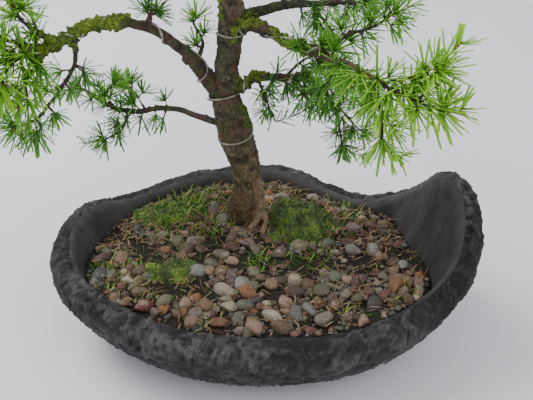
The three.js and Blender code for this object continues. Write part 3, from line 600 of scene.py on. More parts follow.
# Each branch has its line, its twigs, and its sprays: which twigs are leafy, between which shares
# of them, how far their spurs reach out, and how much more light than their place they get.
BRANCHES = {
    "left_high": {
        "line": [
            (-14, -2, 119, 8.5), (-28, -3, 142, 6.8), (-45, -10, 169, 4.6), (-61, -18, 187, 3.8),
            (-83, -28, 199, 3.6), (-104, -42, 203, 3.6), (-126, -57, 196, 3.2),
            (-150, -76, 195, 2.2), (-170, -90, 197, 1.2),
        ],
        "twigs": {
            "rising": [(-126, -57, 197, 2), (-143, -68, 220, 1.4), (-146, -72, 234, 1)],
            "hanging": [
                (-115, -49, 199, 2.4), (-116, -53, 180, 1.8), (-126, -56, 165, 1.6),
                (-146, -58, 141, 1.4), (-162, -60, 133, 0.9),
            ],
            "spur": [(-67, -21, 190, 3), (-66, -21, 198, 2.2), (-64, -21, 205, 1.2)],
            "back": [(-36, -6, 157, 2), (-31, 3, 170, 1.6), (-38, 8, 183, 1)],
            "outer_low": [(-138, -66, 195, 1.8), (-144, -74, 181, 1.3), (-145, -78, 166, 0.9)],
            "outer_front": [(-148, -75, 195, 1.8), (-158, -92, 189, 1.3), (-166, -104, 184, 0.9)],
            "outer_back": [(-140, -66, 195, 1.8), (-158, -62, 203, 1.3), (-176, -62, 208, 0.9)],
        },
        "sprays": {
            "rising": [("rising", 0.3), ("spur", 0.6)],
            "hanging": [("hanging", 0.25, 1, 7)],
            "outer": [
                ("line", 0.8, 1, 9), ("outer_low", 0.2, 1, 6), ("outer_front", 0.2), ("outer_back", 0.2),
            ],
            "back": [("back", 0.35, 1, 7, 0.25)],
        },
    },
    "left_low": {
        "line": [
            (-14, -2, 102, 3.4), (-26, -2, 104, 3), (-45, 2, 109, 2.6), (-60, 6, 111, 2.4),
            (-78, 10, 107, 2.4), (-96, 12, 105, 2.2), (-112, 14, 109, 1.8), (-122, 16, 117, 1.5),
            (-134, 19, 124, 1),
        ],
        "twigs": {
            "rising": [(-108, 14, 107, 1.4), (-110, 14, 121, 1.1), (-104, 10, 131, 0.8)],
            "hanging": [(-95, 12, 105, 1.5), (-101, 7, 91, 1.1), (-114, 3, 83, 0.8)],
            "back": [(-80, 10, 107, 1.3), (-90, 26, 113, 0.9), (-98, 38, 116, 0.7)],
        },
        "sprays": {
            "outer": [("line", 0.74, 1, 6), ("rising", 0.4, 1, 4, 0.3)],
            "inner": [("line", 0.38, 0.68, 8)],
            "hanging": [("hanging", 0.4)],
            "back": [("back", 0.4)],
        },
    },
    "right_top": {
        "line": [
            (-9, -2, 190, 5), (3, -2, 194, 4.6), (16, 0, 197, 4), (33, 2, 200, 3.6),
            (49, 2, 201, 3), (66, -2, 204, 2.2), (86, -8, 205, 1.2),
        ],
        "twigs": {
            "front": [(50, 1, 201, 2), (57, -10, 195, 1.4), (64, -20, 190, 0.9)],
            "back": [(36, 2, 200, 1.8), (48, 20, 204, 1.3), (56, 34, 206, 0.9)],
            "outer": [(66, -2, 204, 1.6), (80, 10, 200, 1.2), (94, 18, 199, 0.8)],
        },
        "sprays": {
            "outer": [("line", 0.6), ("front", 0.3), ("outer", 0.3)],
            "back": [("back", 0.4)],
        },
    },
    "right_front": {
        "line": [
            (-9, -4, 182, 6), (2, -9, 188, 5), (16, -22, 191, 4.2), (28, -37, 190, 3.6),
            (40, -53, 191, 3.2), (53, -71, 196, 2.6), (68, -95, 201, 2.2), (83, -120, 203, 1.8),
            (96, -146, 206, 1.2),
        ],
        "twigs": {
            "hanging": [(82, -118, 203, 1.8), (87, -126, 187, 1.5), (89, -131, 167, 1)],
            "outer": [(90, -134, 205, 1.5), (106, -148, 203, 1.2), (121, -154, 199, 0.8)],
            "rising": [(86, -126, 204, 1.4), (102, -136, 213, 1.1), (115, -140, 221, 0.8)],
            "inner": [(48, -64, 194, 1.8), (58, -62, 188, 1.4), (69, -66, 181, 0.9)],
            "inner_low": [(58, -62, 188, 1.3), (62, -55, 172, 1.1), (60, -50, 155, 0.8)],
            "inner_far": [(69, -66, 181, 1.1), (80, -60, 168, 1), (92, -54, 150, 0.8)],
            "back": [
                (53, -71, 196, 1.9), (70, -75, 212, 1.6), (85, -83, 221, 1.3), (97, -85, 231, 0.9),
            ],
        },
        "sprays": {
            "outer": [
                ("line", 0.52, 0.95, 6), ("outer", 0.25, 0.9, 4), ("rising", 0.3, 1, 5),
                ("back", 0.3, 1, 5),
            ],
            "hanging": [("hanging", 0.35, 1, 4)],
            "inner": [("inner", 0.2), ("inner_low", 0.2, 1, 6), ("inner_far", 0.1, 1, 6)],
        },
    },
    "right_low": {
        "line": [
            (-14, -2, 128, 4.4), (-2, -5, 136, 4), (11, -8, 145, 3.4), (24, -10, 147, 3),
            (38, -12, 148, 2.6), (50, -14, 147, 2.2), (61, -17, 138, 1.9), (70, -21, 124, 1.5),
            (75, -26, 95, 0.9),
        ],
        "twigs": {
            "dead": [(11, -8, 143, 1.4), (17, -12, 126, 1.1), (24, -14, 110, 0.8)],
            "dead_fork": [(20, -13, 118, 1), (20, -15, 110, 0.9), (18, -15, 102, 0.7)],
            "outer": [(58, -16, 141, 1.6), (74, -16, 143, 1.2), (90, -20, 138, 0.8)],
            "low": [(66, -19, 131, 1.5), (79, -24, 120, 1.2), (90, -30, 111, 0.8)],
            "front": [(38, -12, 148, 1.5), (44, -28, 145, 1.2), (50, -42, 142, 0.8)],
            "back": [(30, -11, 147, 1.5), (44, 6, 152, 1.2), (58, 18, 153, 0.8)],
        },
        "sprays": {
            "outer": [("line", 0.36, 0.8, 6), ("outer", 0.2, 1, 6), ("low", 0.15, 1, 5)],
            "hanging": [("dead", 0.25, 0.6, 4), ("line", 0.88, 1, 3)],
            "front": [("front", 0.5)],
            "back": [("back", 0.5)],
        },
    },
    "crown_left": {
        "line": [
            (-15, 0, 230, 4.2), (-34, 4, 244, 3.6), (-60, 8, 252, 3), (-88, 8, 256, 2.3),
            (-112, 6, 262, 1.3),
        ],
        "twigs": {
            "back": [(-66, 8, 253, 1.6), (-80, 26, 262, 1.2), (-92, 40, 266, 0.8)],
            "front": [(-60, 8, 252, 1.6), (-76, -10, 262, 1.2), (-88, -24, 270, 0.8)],
        },
        "sprays": {"pad": [("line", 0.3), ("back", 0.2), ("front", 0.2)]},
    },
    "crown_back": {
        "line": [(-17, 3, 246, 3.8), (-16, 24, 258, 3.2), (-10, 50, 264, 2.6), (-14, 76, 270, 1.4)],
        "twigs": {
            "left": [(-13, 44, 263, 1.5), (-34, 58, 270, 1.1), (-50, 66, 274, 0.8)],
            "right": [(-11, 44, 263, 1.5), (10, 58, 270, 1.1), (24, 66, 274, 0.8)],
        },
        "sprays": {"pad": [("line", 0.3), ("left", 0.2), ("right", 0.2)]},
    },
    "crown_right": {
        "line": [(-18, 5, 268, 3.6), (4, 4, 280, 3), (32, -2, 286, 2.5), (62, -8, 292, 1.3)],
        "twigs": {
            "front": [(28, -2, 285, 1.5), (40, -22, 296, 1.1), (50, -36, 302, 0.8)],
            "back": [(30, -2, 286, 1.5), (46, 16, 293, 1.1), (56, 30, 297, 0.8)],
        },
        "sprays": {"pad": [("line", 0.3), ("front", 0.2), ("back", 0.2)]},
    },
    "crown_front": {
        "line": [(-15, 5, 288, 3.2), (-24, -14, 303, 2.6), (-38, -38, 312, 2.1), (-48, -60, 322, 1.1)],
        "twigs": {
            "left": [(-32, -28, 309, 1.3), (-52, -30, 317, 1), (-70, -28, 321, 0.8)],
            "right": [(-34, -32, 310, 1.3), (-18, -46, 319, 1), (-6, -58, 325, 0.8)],
        },
        "sprays": {"pad": [("line", 0.3), ("left", 0.2), ("right", 0.2)]},
    },
    "crown_high_left": {
        "line": [(-8, 4, 314, 2.6), (-26, 8, 326, 2.2), (-48, 12, 333, 1.7), (-66, 14, 340, 1)],
        "twigs": {"back": [(-36, 10, 329, 1.2), (-44, 28, 338, 0.9), (-50, 40, 342, 0.8)]},
        "sprays": {"pad": [("line", 0.25), ("back", 0.2)]},
    },
    "crown_high_right": {
        "line": [(-5, 2, 330, 2.4), (12, 4, 341, 2), (30, 4, 346, 1.6), (46, 2, 352, 1)],
        "twigs": {"back": [(16, 4, 342, 1.2), (24, 20, 350, 0.9), (30, 32, 354, 0.8)]},
        "sprays": {"pad": [("line", 0.25), ("back", 0.2)]},
    },
}


def limb_line(points):
    """The points in metres, each with its radius as a fourth number."""
    foot = Vector((*TRUNK_FOOT, 0))
    return [Vector(point) * MM + foot for point in points]


def length_of(line):
    return sum((b - a).xyz.length for a, b in zip(line, line[1:]))


ALONG_STEP = 0.01


def heading(line, share):
    """Which way a limb runs at a share of the way along it."""
    return (through(line, share + ALONG_STEP) - through(line, share - ALONG_STEP)).xyz


def on_limb(line, share, turn, out=0.0):
    """A point on a limb's bark, some way out from it, at a turn round it."""
    here = through(line, share)
    along = heading(line, share)
    side = Vector((0, 1, 0)).cross(along).normalized()
    up = along.cross(side).normalized()
    reach = here.w + out
    return here.xyz + reach * math.cos(turn) * side + reach * math.sin(turn) * up


# ------------------------------------------------------------------ trunk, roots and branches
# Bark is grey-brown and breaks into small upright plates, smoother and browner near the soil. Twigs
# are darker and knobbly with the spurs of past years. Old limbs carry yellow-green lichen and moss.
TRUNK_VOXEL = 0.75 * MM
BRANCH_VOXEL = 0.55 * MM
TWIG_WANDER = 1.3 * MM
STRAIGHT_STEPS = 4
LEAST_KNUCKLE = 0.0009
KNUCKLE_CHANCE = 0.75


def tube_mesh(name, lines, sides):
    """One closed tube for each line of points with radii."""
    curve = bpy.data.curves.new(name, "CURVE")
    curve.dimensions = "3D"
    curve.bevel_depth = 1.0
    curve.bevel_resolution = sides
    curve.use_fill_caps = True
    for line in lines:
        spline = curve.splines.new("POLY")
        spline.points.add(len(line) - 1)
        for point, here in zip(spline.points, line):
            point.co = (*here.xyz, 1)
            point.radius = here.w
    holder = bpy.data.objects.new(name, curve)
    bpy.context.scene.collection.objects.link(holder)
    mesh = bpy.data.meshes.new_from_object(holder.evaluated_get(bpy.context.evaluated_depsgraph_get()))
    bpy.data.objects.remove(holder)
    return mesh


def grown_together(mesh, voxel):
    """The mesh's closed tubes as one skin, with faces of about one voxel."""
    holder = bpy.data.objects.new("blank", mesh)
    bpy.context.scene.collection.objects.link(holder)
    remesh = holder.modifiers.new("skin", "REMESH")
    remesh.mode = "VOXEL"
    remesh.voxel_size = voxel
    graph = bpy.context.evaluated_depsgraph_get()
    skin = bpy.data.meshes.new_from_object(holder.evaluated_get(graph))
    bpy.data.objects.remove(holder)
    return skin


def wandering(line, steps, amount, seed):
    """A limb's line with the small crooks of real growth, kept straight at its foot."""
    found = []
    for i in range(steps + 1):
        here = through(line, i / steps)
        sway = drift(here.xyz, 70, seed, seed + 5, seed + 9)
        here.xyz += sway * amount * min(1, i / STRAIGHT_STEPS)
        found.append(here)
    return found


def knuckles(line, spacing, chance):
    """Short spurs along a twig, where needles grew in past years."""
    found = []
    length = length_of(line)
    for i in range(int(length / spacing)):
        if chance.random() < KNUCKLE_CHANCE:
            share = (i + chance.random()) * spacing / length
            turn = chance.uniform(0, 2 * math.pi)
            base = through(line, min(share, 1))
            size = max(LEAST_KNUCKLE, base.w * chance.uniform(0.5, 0.85))
            start = Vector((*on_limb(line, share, turn, -0.3 * base.w), size))
            end = Vector((*on_limb(line, share, turn, chance.uniform(0.7, 2.0) * MM), size * 0.75))
            found.append([start, end])
    return found


BARK_DRIFT = 0.0022
BARK_STRETCH = 0.6


def bark(co, depth):
    """Scales between cracks, with chips and hollows: how far the bark stands out, and how much painted
    shade its cracks, chips and hollows get.
    """
    there = co + drift(co, 160, 3, 5, 9) * BARK_DRIFT
    there.z *= BARK_STRETCH
    near, centres = noise.voronoi(there * 250)
    crack = 1 - step_between(near[1] - near[0], 0.02, 0.30)
    tone = noise.cell(centres[0] * 7.3)
    small, _ = noise.voronoi(there * 640)
    chip = 1 - step_between(small[1] - small[0], 0.0, 0.35)
    grain = noise.fractal(there * 900, 0.9, 2.1, 2)
    out = 0.35 * tone - 0.45 * crack - 0.45 * chip + 0.55 * grain + 0.8 * lumps(co, 80, 7)
    hollow = step_between(-lumps(co, 120, 21), 0.1, 0.5)
    return (out - 0.6 * hollow) * depth, max(0.45 * crack, 0.5 * chip, 0.8 * hollow)


# Where moss grows along a limb: between which shares of it, at what turn round it, and its reach.
MOSSY = [
    ("left_high", 0.54, 0.82, 0.0, 12), ("right_front", 0.14, 0.2, 0.5, 6),
    ("right_front", 0.34, 0.56, 0.5, 6.5), ("right_low", 0.12, 0.26, 0.5, 6),
    ("right_low", 0.54, 0.58, 0.5, 4), ("trunk", 0.31, 0.37, 0.96, 5), ("trunk", 0.60, 0.64, 0.6, 3.5),
    ("trunk", 0.55, 0.57, 0.8, 3.5),
]
MOSS_STEP = 6 * MM
moss_places = []
for limb, start, end, turn, reach in MOSSY:
    line = limb_line(TRUNK if limb == "trunk" else BRANCHES[limb]["line"])
    count = max(1, round(length_of(line) * (end - start) / MOSS_STEP))
    for i in range(count + 1):
        place = on_limb(line, start + (end - start) * i / count, 2 * math.pi * turn)
        moss_places.append((place, reach * MM))


def lichen_patch(co, normal):
    """How thick moss is: only near the places where it grows, and more on the upper side."""
    near = max(1 - (co - place).length / reach for place, reach in moss_places)
    if near < -1:
        return 0
    ragged = 0.5 * lumps(co, 140, 12) + 0.45 * lumps(co, 420, 15)
    return step_between(near + 0.3 * normal.z + ragged, 0.0, 0.45)


# The first two roots stand clear of the foot as pale strands.
STRAND_TOP = 60 * MM
STRAND_WIDTH = 2.1
STRANDS = [through(limb_line(root), i / 20) for root in ROOTS[:2] for i in range(3, 21)]


def paleness(co):
    """How near a place is to the pale strands of root: 1 on them, 0 away from them."""
    if co.z > TRUNK_FOOT.z + STRAND_TOP:
        return 0
    near = max(1 - (co - place.xyz).length / (STRAND_WIDTH * place.w) for place in STRANDS)
    return step_between(near, 0.05, 0.4)


def grow_bark(mesh, depth, moss_depth):
    """Pushes a skin out into bark and moss, and records both for its colours."""
    bm = bmesh.new()
    bm.from_mesh(mesh)
    bmesh.ops.smooth_vert(bm, verts=bm.verts, factor=0.5, use_axis_x=True, use_axis_y=True, use_axis_z=True)
    bm.normal_update()
    cracked, mossy, pale = [], [], []
    for vert in bm.verts:
        out, crack = bark(vert.co, depth)
        moss = lichen_patch(vert.co, vert.normal)
        tuft = 0.7 + 1.5 * lumps(vert.co, 260, 2) + 0.9 * lumps(vert.co, 620, 5)
        vert.co += vert.normal * (out * (1 - moss) + moss_depth * moss * tuft)
        cracked.append(crack)
        mossy.append(moss)
        pale.append(paleness(vert.co))
    bm.to_mesh(mesh)
    bm.free()
    set_field(mesh, "cracked", cracked)
    set_field(mesh, "mossy", mossy)
    set_field(mesh, "pale", pale)
    return mesh


RUST = (0.20, 0.075, 0.04)
GREEN_BLOOM = (0.075, 0.115, 0.028)
GREY_SKIN = (0.24, 0.23, 0.19)
ROOT_TAN = (0.42, 0.29, 0.17)
MOSS_STOPS = [
    (0.30, (0.012, 0.022, 0.003)), (0.45, (0.060, 0.105, 0.008)), (0.58, (0.17, 0.24, 0.014)),
    (0.75, (0.40, 0.46, 0.035)),
]
FOOT_COLOUR_TOP = 0.163
FOOT_COLOUR_BLUR = 0.022


def wood_surface(name, low, high, crevice_shade, foot_low=None, foot_high=None):
    """Bark: paler scales, painted shade in its cracks, a green bloom of algae, and moss where it has grown.
    """
    wood = Surface(name, roughness=0.9)
    fine = wood.noise(430, 5, 0.7)
    tone = wood.noise(70, 4, 0.6)
    mixed = tone * 0.45 + fine * 0.55
    scales = wood.ramp(mixed, (0.4, low), (0.62, high))
    if foot_low:
        base = wood.ramp(mixed, (0.4, foot_low), (0.62, foot_high))
        height = wood.node("SeparateXYZ", {}, {"Vector": wood.coords}, output=2)
        edge = height + 0.05 * wood.noise(45, 3, 0.6)
        scales = wood.mix(edge.above(FOOT_COLOUR_TOP, FOOT_COLOUR_BLUR), base, scales)
    rust = wood.noise(52, 3, 0.55).above(0.52, 0.06) * fine.above(0.42, 0.1)
    scales = wood.mix(rust * 0.55, scales, RUST)
    bloom = wood.noise(110, 5, 0.65).above(0.53, 0.07) * fine.above(0.40, 0.12)
    scales = wood.mix(bloom * 0.7, scales, GREEN_BLOOM)
    grey = wood.noise(240, 4, 0.6, stretch=(1, 1, 0.7)).above(0.66, 0.03)
    scales = wood.mix(grey * 0.5, scales, GREY_SKIN)
    scales = wood.mix(wood.attribute("pale") * 0.8, scales, ROOT_TAN)
    # Cracks, chips and hollows are painted darker here: painted shade in the bark's recesses.
    scales = wood.mix(wood.attribute("cracked") * 0.8, scales, crevice_shade)
    crust = wood.noise(520, 3, 0.6) * 0.6 + wood.noise(90, 2, 0.5) * 0.4
    moss = wood.ramp(crust, *MOSS_STOPS)
    wood.set("Base Color", wood.mix(wood.attribute("mossy").above(0.45, 0.2), scales, moss))
    wood.set("Normal", wood.bump(fine * 0.7 + wood.noise(1600, 2, 0.6) * 0.3, 0.0018, 1.0))
    return wood


trunk_bark = wood_surface(
    "trunk_bark", (0.036, 0.029, 0.020), (0.28, 0.225, 0.150), (0.008, 0.006, 0.004),
    (0.050, 0.036, 0.019), (0.43, 0.315, 0.165),
)
branch_bark = wood_surface(
    "branch_bark", (0.024, 0.018, 0.015), (0.12, 0.095, 0.072), (0.006, 0.004, 0.003)
)

TRUNK_STEPS = 140
ROOT_STEPS = 14
TRUNK_BARK = 1.25 * MM
TRUNK_MOSS = 1.2 * MM
trunk_line = limb_line(TRUNK)
trunk_tubes = [[through(trunk_line, i / TRUNK_STEPS) for i in range(TRUNK_STEPS + 1)]]
for root in ROOTS:
    trunk_tubes.append([through(limb_line(root), i / ROOT_STEPS) for i in range(ROOT_STEPS + 1)])
trunk_skin = grown_together(tube_mesh("trunk_core", trunk_tubes, 8), TRUNK_VOXEL)
grow_bark(trunk_skin, TRUNK_BARK, TRUNK_MOSS)
finished_mesh("trunk_wood", trunk_skin, trunk_bark, ["trunk"])

SPUR_SPACING = 9.5 * MM
SPUR_REACH = 4.5
SPUR_TIP = 1.3 * MM
SPUR_ROOT = 1.4 * MM
SPUR_MIDDLE = 0.9 * MM
SPUR_NECK = 0.85 * MM
PAIR_CHANCE = 0.7
TUFT_LIFT = Vector((0, 0, 0.25))


def tufts_on(lines, runs, chance):
    """The tufts along a spray's twigs: the wood each leaves, its tip, its way and its extra light."""
    found = []
    for run in runs:
        twig, start, end, reach, lit = (*run, *(1.0, SPUR_REACH, 0.0)[len(run) - 2:])
        line = lines[twig]
        count = max(2, round(length_of(line) * (end - start) / SPUR_SPACING))
        for i in range(count + 1):
            share = start + (end - start) * (i + chance.uniform(-0.25, 0.25)) / count
            share = min(max(share, 0.02), 0.99)
            here = through(line, share)
            ahead = heading(line, share).normalized()
            for _ in range(2 if chance.random() < PAIR_CHANCE else 1):
                turn = chance.uniform(0, 2 * math.pi)
                tip = on_limb(line, share, turn, reach * chance.uniform(0.3, 1.0) * MM)
                tip += ahead * chance.uniform(0, 0.4 * reach) * MM
                way = ((tip - here.xyz).normalized() + 0.5 * ahead + TUFT_LIFT).normalized()
                found.append((here, tip, way, lit))
        ahead = (through(line, end) - through(line, end - 0.03)).xyz.normalized()
        found.append((through(line, end), through(line, end).xyz, ahead, lit))
    return found


def spur(here, tip):
    """A short bent spur from the wood to a tuft, with a knob at its tip."""
    middle = here.xyz.lerp(tip, 0.55) + Vector((0, 0, 0.1 * (tip - here.xyz).length))
    neck = here.xyz.lerp(tip, 0.92)
    root = min(here.w, SPUR_ROOT)
    sized = ((here.xyz, root), (middle, SPUR_MIDDLE), (neck, SPUR_NECK), (tip, SPUR_TIP))
    return [Vector((*place, size)) for place, size in sized]


STEPS_A_POINT = 12
SIDE_TWIG_WANDER = 0.7
LEAST_TWIG = 0.85 * MM
KNUCKLE_SPACING = 7 * MM
BRANCH_BARK = 0.4 * MM
BRANCH_MOSS = 2.1 * MM
for number, (name, branch) in enumerate(BRANCHES.items()):
    chance = random.Random(100 + number)
    branch["lines"] = {"line": limb_line(branch["line"])}
    branch["lines"].update({twig: limb_line(points) for twig, points in branch["twigs"].items()})
    tubes = []
    for twig, line in branch["lines"].items():
        amount = TWIG_WANDER * (1.0 if twig == "line" else SIDE_TWIG_WANDER)
        grown = wandering(line, STEPS_A_POINT * (len(line) - 1), amount, 20 + number)
        branch["lines"][twig] = grown
        tubes.append([Vector((*p.xyz, max(p.w, LEAST_TWIG))) for p in grown])
        tubes += knuckles(grown, KNUCKLE_SPACING, chance)
    branch["tufts"] = {}
    for spray, runs in branch["sprays"].items():
        branch["tufts"][spray] = tufts_on(branch["lines"], runs, chance)
        tubes += [spur(here, tip) for here, tip, _, _ in branch["tufts"][spray] if here.xyz != tip]
    skin = grown_together(tube_mesh("core", tubes, 3), BRANCH_VOXEL)
    grow_bark(skin, BRANCH_BARK, BRANCH_MOSS)
    finished_mesh(f"branch_wood_{name}", skin, branch_bark, [f"branch_{name}"])

# ------------------------------------------------------------------ training wire
# Soft grey wire, coiled round the trunk and out along two pairs of branches, holds them where they
# were bent. It is dull and slightly pitted from a season outdoors.
WIRE_RADIUS = 0.95 * MM
WIRE_OFF = WIRE_RADIUS + 0.35 * MM


def coil(line, places):
    """Points of a wire round a limb. Each place says how many points along, turns, and stand-off."""
    found = []
    for before, after in zip(places, places[1:]):
        along, turn, off = (*before, 0)[:3]
        next_along, next_turn, next_off = (*after, 0)[:3]
        steps = max(2, math.ceil(abs(next_turn - turn) * 30))
        for i in range(steps):
            part = i / steps
            share = (along + (next_along - along) * part) / (len(line) - 1)
            angle = 2 * math.pi * (turn + (next_turn - turn) * part)
            found.append(on_limb(line, share, angle, WIRE_OFF + (off + (next_off - off) * part) * MM))
    return found


WIRE_EASINGS = 10
WIRE_DULL = (0.16, 0.145, 0.115)
WIRE_BRIGHT = (0.42, 0.39, 0.33)


def relaxed(points):
    """The same wire with its corners eased, as stiff wire bends."""
    for _ in range(WIRE_EASINGS):
        eased = [(a + 2 * b + c) / 4 for a, b, c in zip(points, points[1:], points[2:])]
        points = [points[0], *eased, points[-1]]
    return points


def wire_piece(name, points, node):
    line = [Vector((*point, WIRE_RADIUS)) for point in relaxed(points)]
    return finished_mesh(name, tube_mesh(name, [line], 4), wire_surface, [node])


wire_surface = Surface("weathered_wire", metallic=0.85, roughness=0.42)
tarnish = wire_surface.noise(180, 4, 0.6)
wire_surface.set("Base Color", wire_surface.ramp(tarnish, (0.35, WIRE_DULL), (0.65, WIRE_BRIGHT)))
wire_surface.set("Roughness", 0.3 + 0.35 * tarnish)
wire_surface.set("Normal", wire_surface.bump(wire_surface.noise(700, 2), 0.0003, 0.5))

right_front = limb_line(BRANCHES["right_front"]["line"])
right_low = limb_line(BRANCHES["right_low"]["line"])
left_high = limb_line(BRANCHES["left_high"]["line"])
# Three level rings up the trunk from behind, and out along the front right branch.
up_trunk = [
    (4.6, 0.25), (5, 0.5), (5, 1), (7.2, 1.5, 5), (7.4, 1.75), (7.5, 2), (9, 2.25), (10, 2.5),
    (10.05, 2.95),
]
out_right = [
    (0.72, 1.1), (0.8, 0.75), (0.96, 0.5), (1.2, 0.25), (1.6, 0), (2.64, -0.25), (3.44, -0.5),
    (3.76, -0.75), (4, -1), (4.45, -1.25), (4.8, -1.5), (5.2, -1.9),
]
up_and_out = coil(trunk_line, up_trunk) + coil(right_front, out_right)
wire_piece("wire_up_trunk", up_and_out, "wire_trunk_to_right")
# From the left branch, round behind the trunk, and out along the lower right branch.
in_left = [
    (6.7, 1), (6.5, 0.75), (6.25, 0.5), (5.8, 0), (5.5, -0.25), (5.2, -0.5), (4.55, -1),
    (4.3, -1.25), (4.05, -1.5), (3.2, -2), (2.9, -2.25), (2.6, -2.5), (1.35, -3), (1.2, -3.25),
    (1.1, -3.5), (0.95, -3.75),
]
out_low = [
    (0.75, 1), (1.2, 0.75), (1.5, 0.5), (2.1, 0.2), (3.4, 0), (3.8, -0.25), (4.1, -0.5), (4.5, -0.8),
]
behind_trunk = [(7.25, 0.42), (7.3, 0.08)]
across = coil(left_high, in_left) + coil(trunk_line, behind_trunk) + coil(right_low, out_low)
wire_piece("wire_across", across, "wire_left_to_right")

# ------------------------------------------------------------------ needles
# Larch needles are soft and flat. They grow in rosettes from short spurs, and singly along the
# year's new shoots, deep green in the shade and yellow-green where the branch reaches the light.
NEEDLE_LENGTH = 13.5 * MM
NEEDLE_WIDTH = 1.65 * MM
NEEDLE_SHOULDER = 0.93
NEEDLE_FLATNESS = 0.35
NEEDLES_A_TUFT = (14, 21)
TUFT_SPREAD = (1.2, 1.55)
LIGHT = (0.155, 0.46, 0.032)
GOLD = (0.40, 0.76, 0.032)
SHADE = (0.036, 0.125, 0.032)
RUDDY = (0.36, 0.13, 0.045)
STRAW = (0.36, 0.28, 0.13)
NEEDLE_ROOT = (0.045, 0.14, 0.012)
NEEDLE_BLOOM = (0.10, 0.22, 0.02)
DRY_CHANCE = 0.02
DRY_LENGTH = 0.45
OPEN_FROM = 35
OPEN_LEFT_FROM = 115


def needle_template():
    """A needle one long and one wide, with level sides up to its shoulder and a blunt tip."""
    bm = bmesh.new()
    half_up = Matrix.Translation((0, 0, 0.5))
    bmesh.ops.create_cone(
        bm, cap_ends=True, segments=3, radius1=0.5, radius2=0.5, depth=1, matrix=half_up
    )
    upright = [edge for edge in bm.edges if abs(edge.verts[0].co.z - edge.verts[1].co.z) > 0.5]
    bmesh.ops.subdivide_edges(bm, edges=upright, cuts=3)
    for vert in bm.verts:
        at_shoulder = 0.7 < vert.co.z < 0.8
        width = 0.5 if vert.co.z > 0.9 else min(0.6 + 1.6 * vert.co.z, 1)
        vert.co.x *= width
        vert.co.y *= NEEDLE_FLATNESS * width
        vert.co.z = NEEDLE_SHOULDER if at_shoulder else vert.co.z
    mesh = bpy.data.meshes.new("needle")
    bm.to_mesh(mesh)
    bm.free()
    return mesh


needle_mesh = needle_template()


class Foliage:
    """One spray's needles, gathered into one mesh with a colour for each needle."""

    def __init__(self):
        self.bm = bmesh.new()
        self.tint = self.bm.verts.layers.float_color.new("tint")

    def needle(self, base, way, length, width, tint, bend):
        before = len(self.bm.verts)
        self.bm.from_mesh(needle_mesh)
        self.bm.verts.ensure_lookup_table()
        turned = way.to_track_quat("Z", "Y").to_matrix()
        for vert in self.bm.verts[before:]:
            x, y, z = vert.co
            spot = turned @ Vector((x * width, y * width, z * length))
            vert.co = base + spot + bend * (z * z)
            vert[self.tint] = (*tint, z)


def tint_at(light):
    low, high, part = (SHADE, LIGHT, light * 2) if light < 0.5 else (LIGHT, GOLD, light * 2 - 1)
    return tuple(a + (b - a) * part for a, b in zip(low, high))


def rosette(foliage, base, way, size, count, light, chance, spread):
    """A tuft of needles that fans out from a spur."""
    side = way.orthogonal().normalized()
    other = way.cross(side)
    for i in range(count):
        turn = 2 * math.pi * (i * 0.382 + 0.05 * chance.random())
        open_angle = spread * (0.14 + 0.86 * ((i + 0.5) / count) ** 0.6) * chance.uniform(0.8, 1.12)
        aim = way * math.cos(open_angle)
        aim += (side * math.cos(turn) + other * math.sin(turn)) * math.sin(open_angle)
        length = size * chance.uniform(0.7, 1.12)
        mixed = min(1.0, max(0.0, light + chance.uniform(-0.2, 0.2)))
        dry = chance.random() < DRY_CHANCE
        tint = RUDDY if dry else tint_at(mixed)
        length *= DRY_LENGTH if dry else 1
        bend = Vector((0, 0, -0.09 * length)) + way * 0.06 * length
        width = NEEDLE_WIDTH * min(1.1, 0.4 + 33 * length) * chance.uniform(0.85, 1.1)
        foliage.needle(base, aim.normalized(), length, width, tint, bend)


def light_at(co):
    """How much light a place gets: more at the front, high up, and at the far left where it is open."""
    local = (co - TRUNK_FOOT) / MM
    open_left = max(0, -local.x - OPEN_LEFT_FROM) * step_between(local.z, 150, 190)
    front = max(0, -local.y - OPEN_FROM)
    return min(0.95, 0.25 + 0.0054 * front + 0.006 * open_left + 0.0015 * max(0, local.z - 200))


def size_at(co):
    """How long needles are: longer where the branch grows strongly, at the front and far left."""
    local = (co - TRUNK_FOOT) / MM
    return NEEDLE_LENGTH + (0.06 * max(0, -local.y - OPEN_FROM) + 0.08 * max(0, -local.x - 125)) * MM


leaf = Surface("soft_needles", roughness=0.5, specular_ior_level=0.35)
tint = leaf.attribute("tint", "Color")
shimmer = leaf.noise(120, 2)
base_tint = leaf.mix(shimmer * 0.15, tint, NEEDLE_BLOOM)
along_needle = leaf.attribute("tint", "Alpha")
base_tint = leaf.mix((1 - along_needle).clamped() * 0.4, base_tint, NEEDLE_ROOT)
leaf.set("Base Color", base_tint)
leaf.set("Roughness", 0.42 + 0.2 * shimmer)
leaf.set("Normal", leaf.bump(leaf.noise(1500, 1), 0.0002, 0.4))


SHOOT_STEP = 2.2 * MM
SHOOT_WIDTH = 1.5 * MM


def shoot(foliage, start, way, length, stem, chance):
    """A year's new shoot: a thin stem with needles set singly all along it, leaning to its tip."""
    steps = max(3, round(length / SHOOT_STEP))
    size, light = 0.85 * size_at(start), min(0.9, light_at(start) + 0.18)
    here = start
    for i in range(steps):
        ahead = (way + Vector((0, 0, 0.35 * i / steps))).normalized()
        step = ahead * length / steps
        foliage.needle(here, ahead, 1.25 * step.length, SHOOT_WIDTH, stem, Vector())
        for _ in range(2 if i < steps - 1 else 7):
            side = ahead.orthogonal().normalized()
            side.rotate(Matrix.Rotation(chance.uniform(0, 2 * math.pi), 3, ahead))
            aim = (ahead * chance.uniform(0.5, 1.3) + side).normalized()
            long = size * chance.uniform(0.75, 1.1) * (1 - 0.25 * i / steps)
            tint = tint_at(min(1, max(0, light + chance.uniform(-0.15, 0.15))))
            width = NEEDLE_WIDTH * min(1.1, 0.45 + 32 * long)
            foliage.needle(here, aim, long, width, tint, ahead * 0.12 * long)
        here = here + step


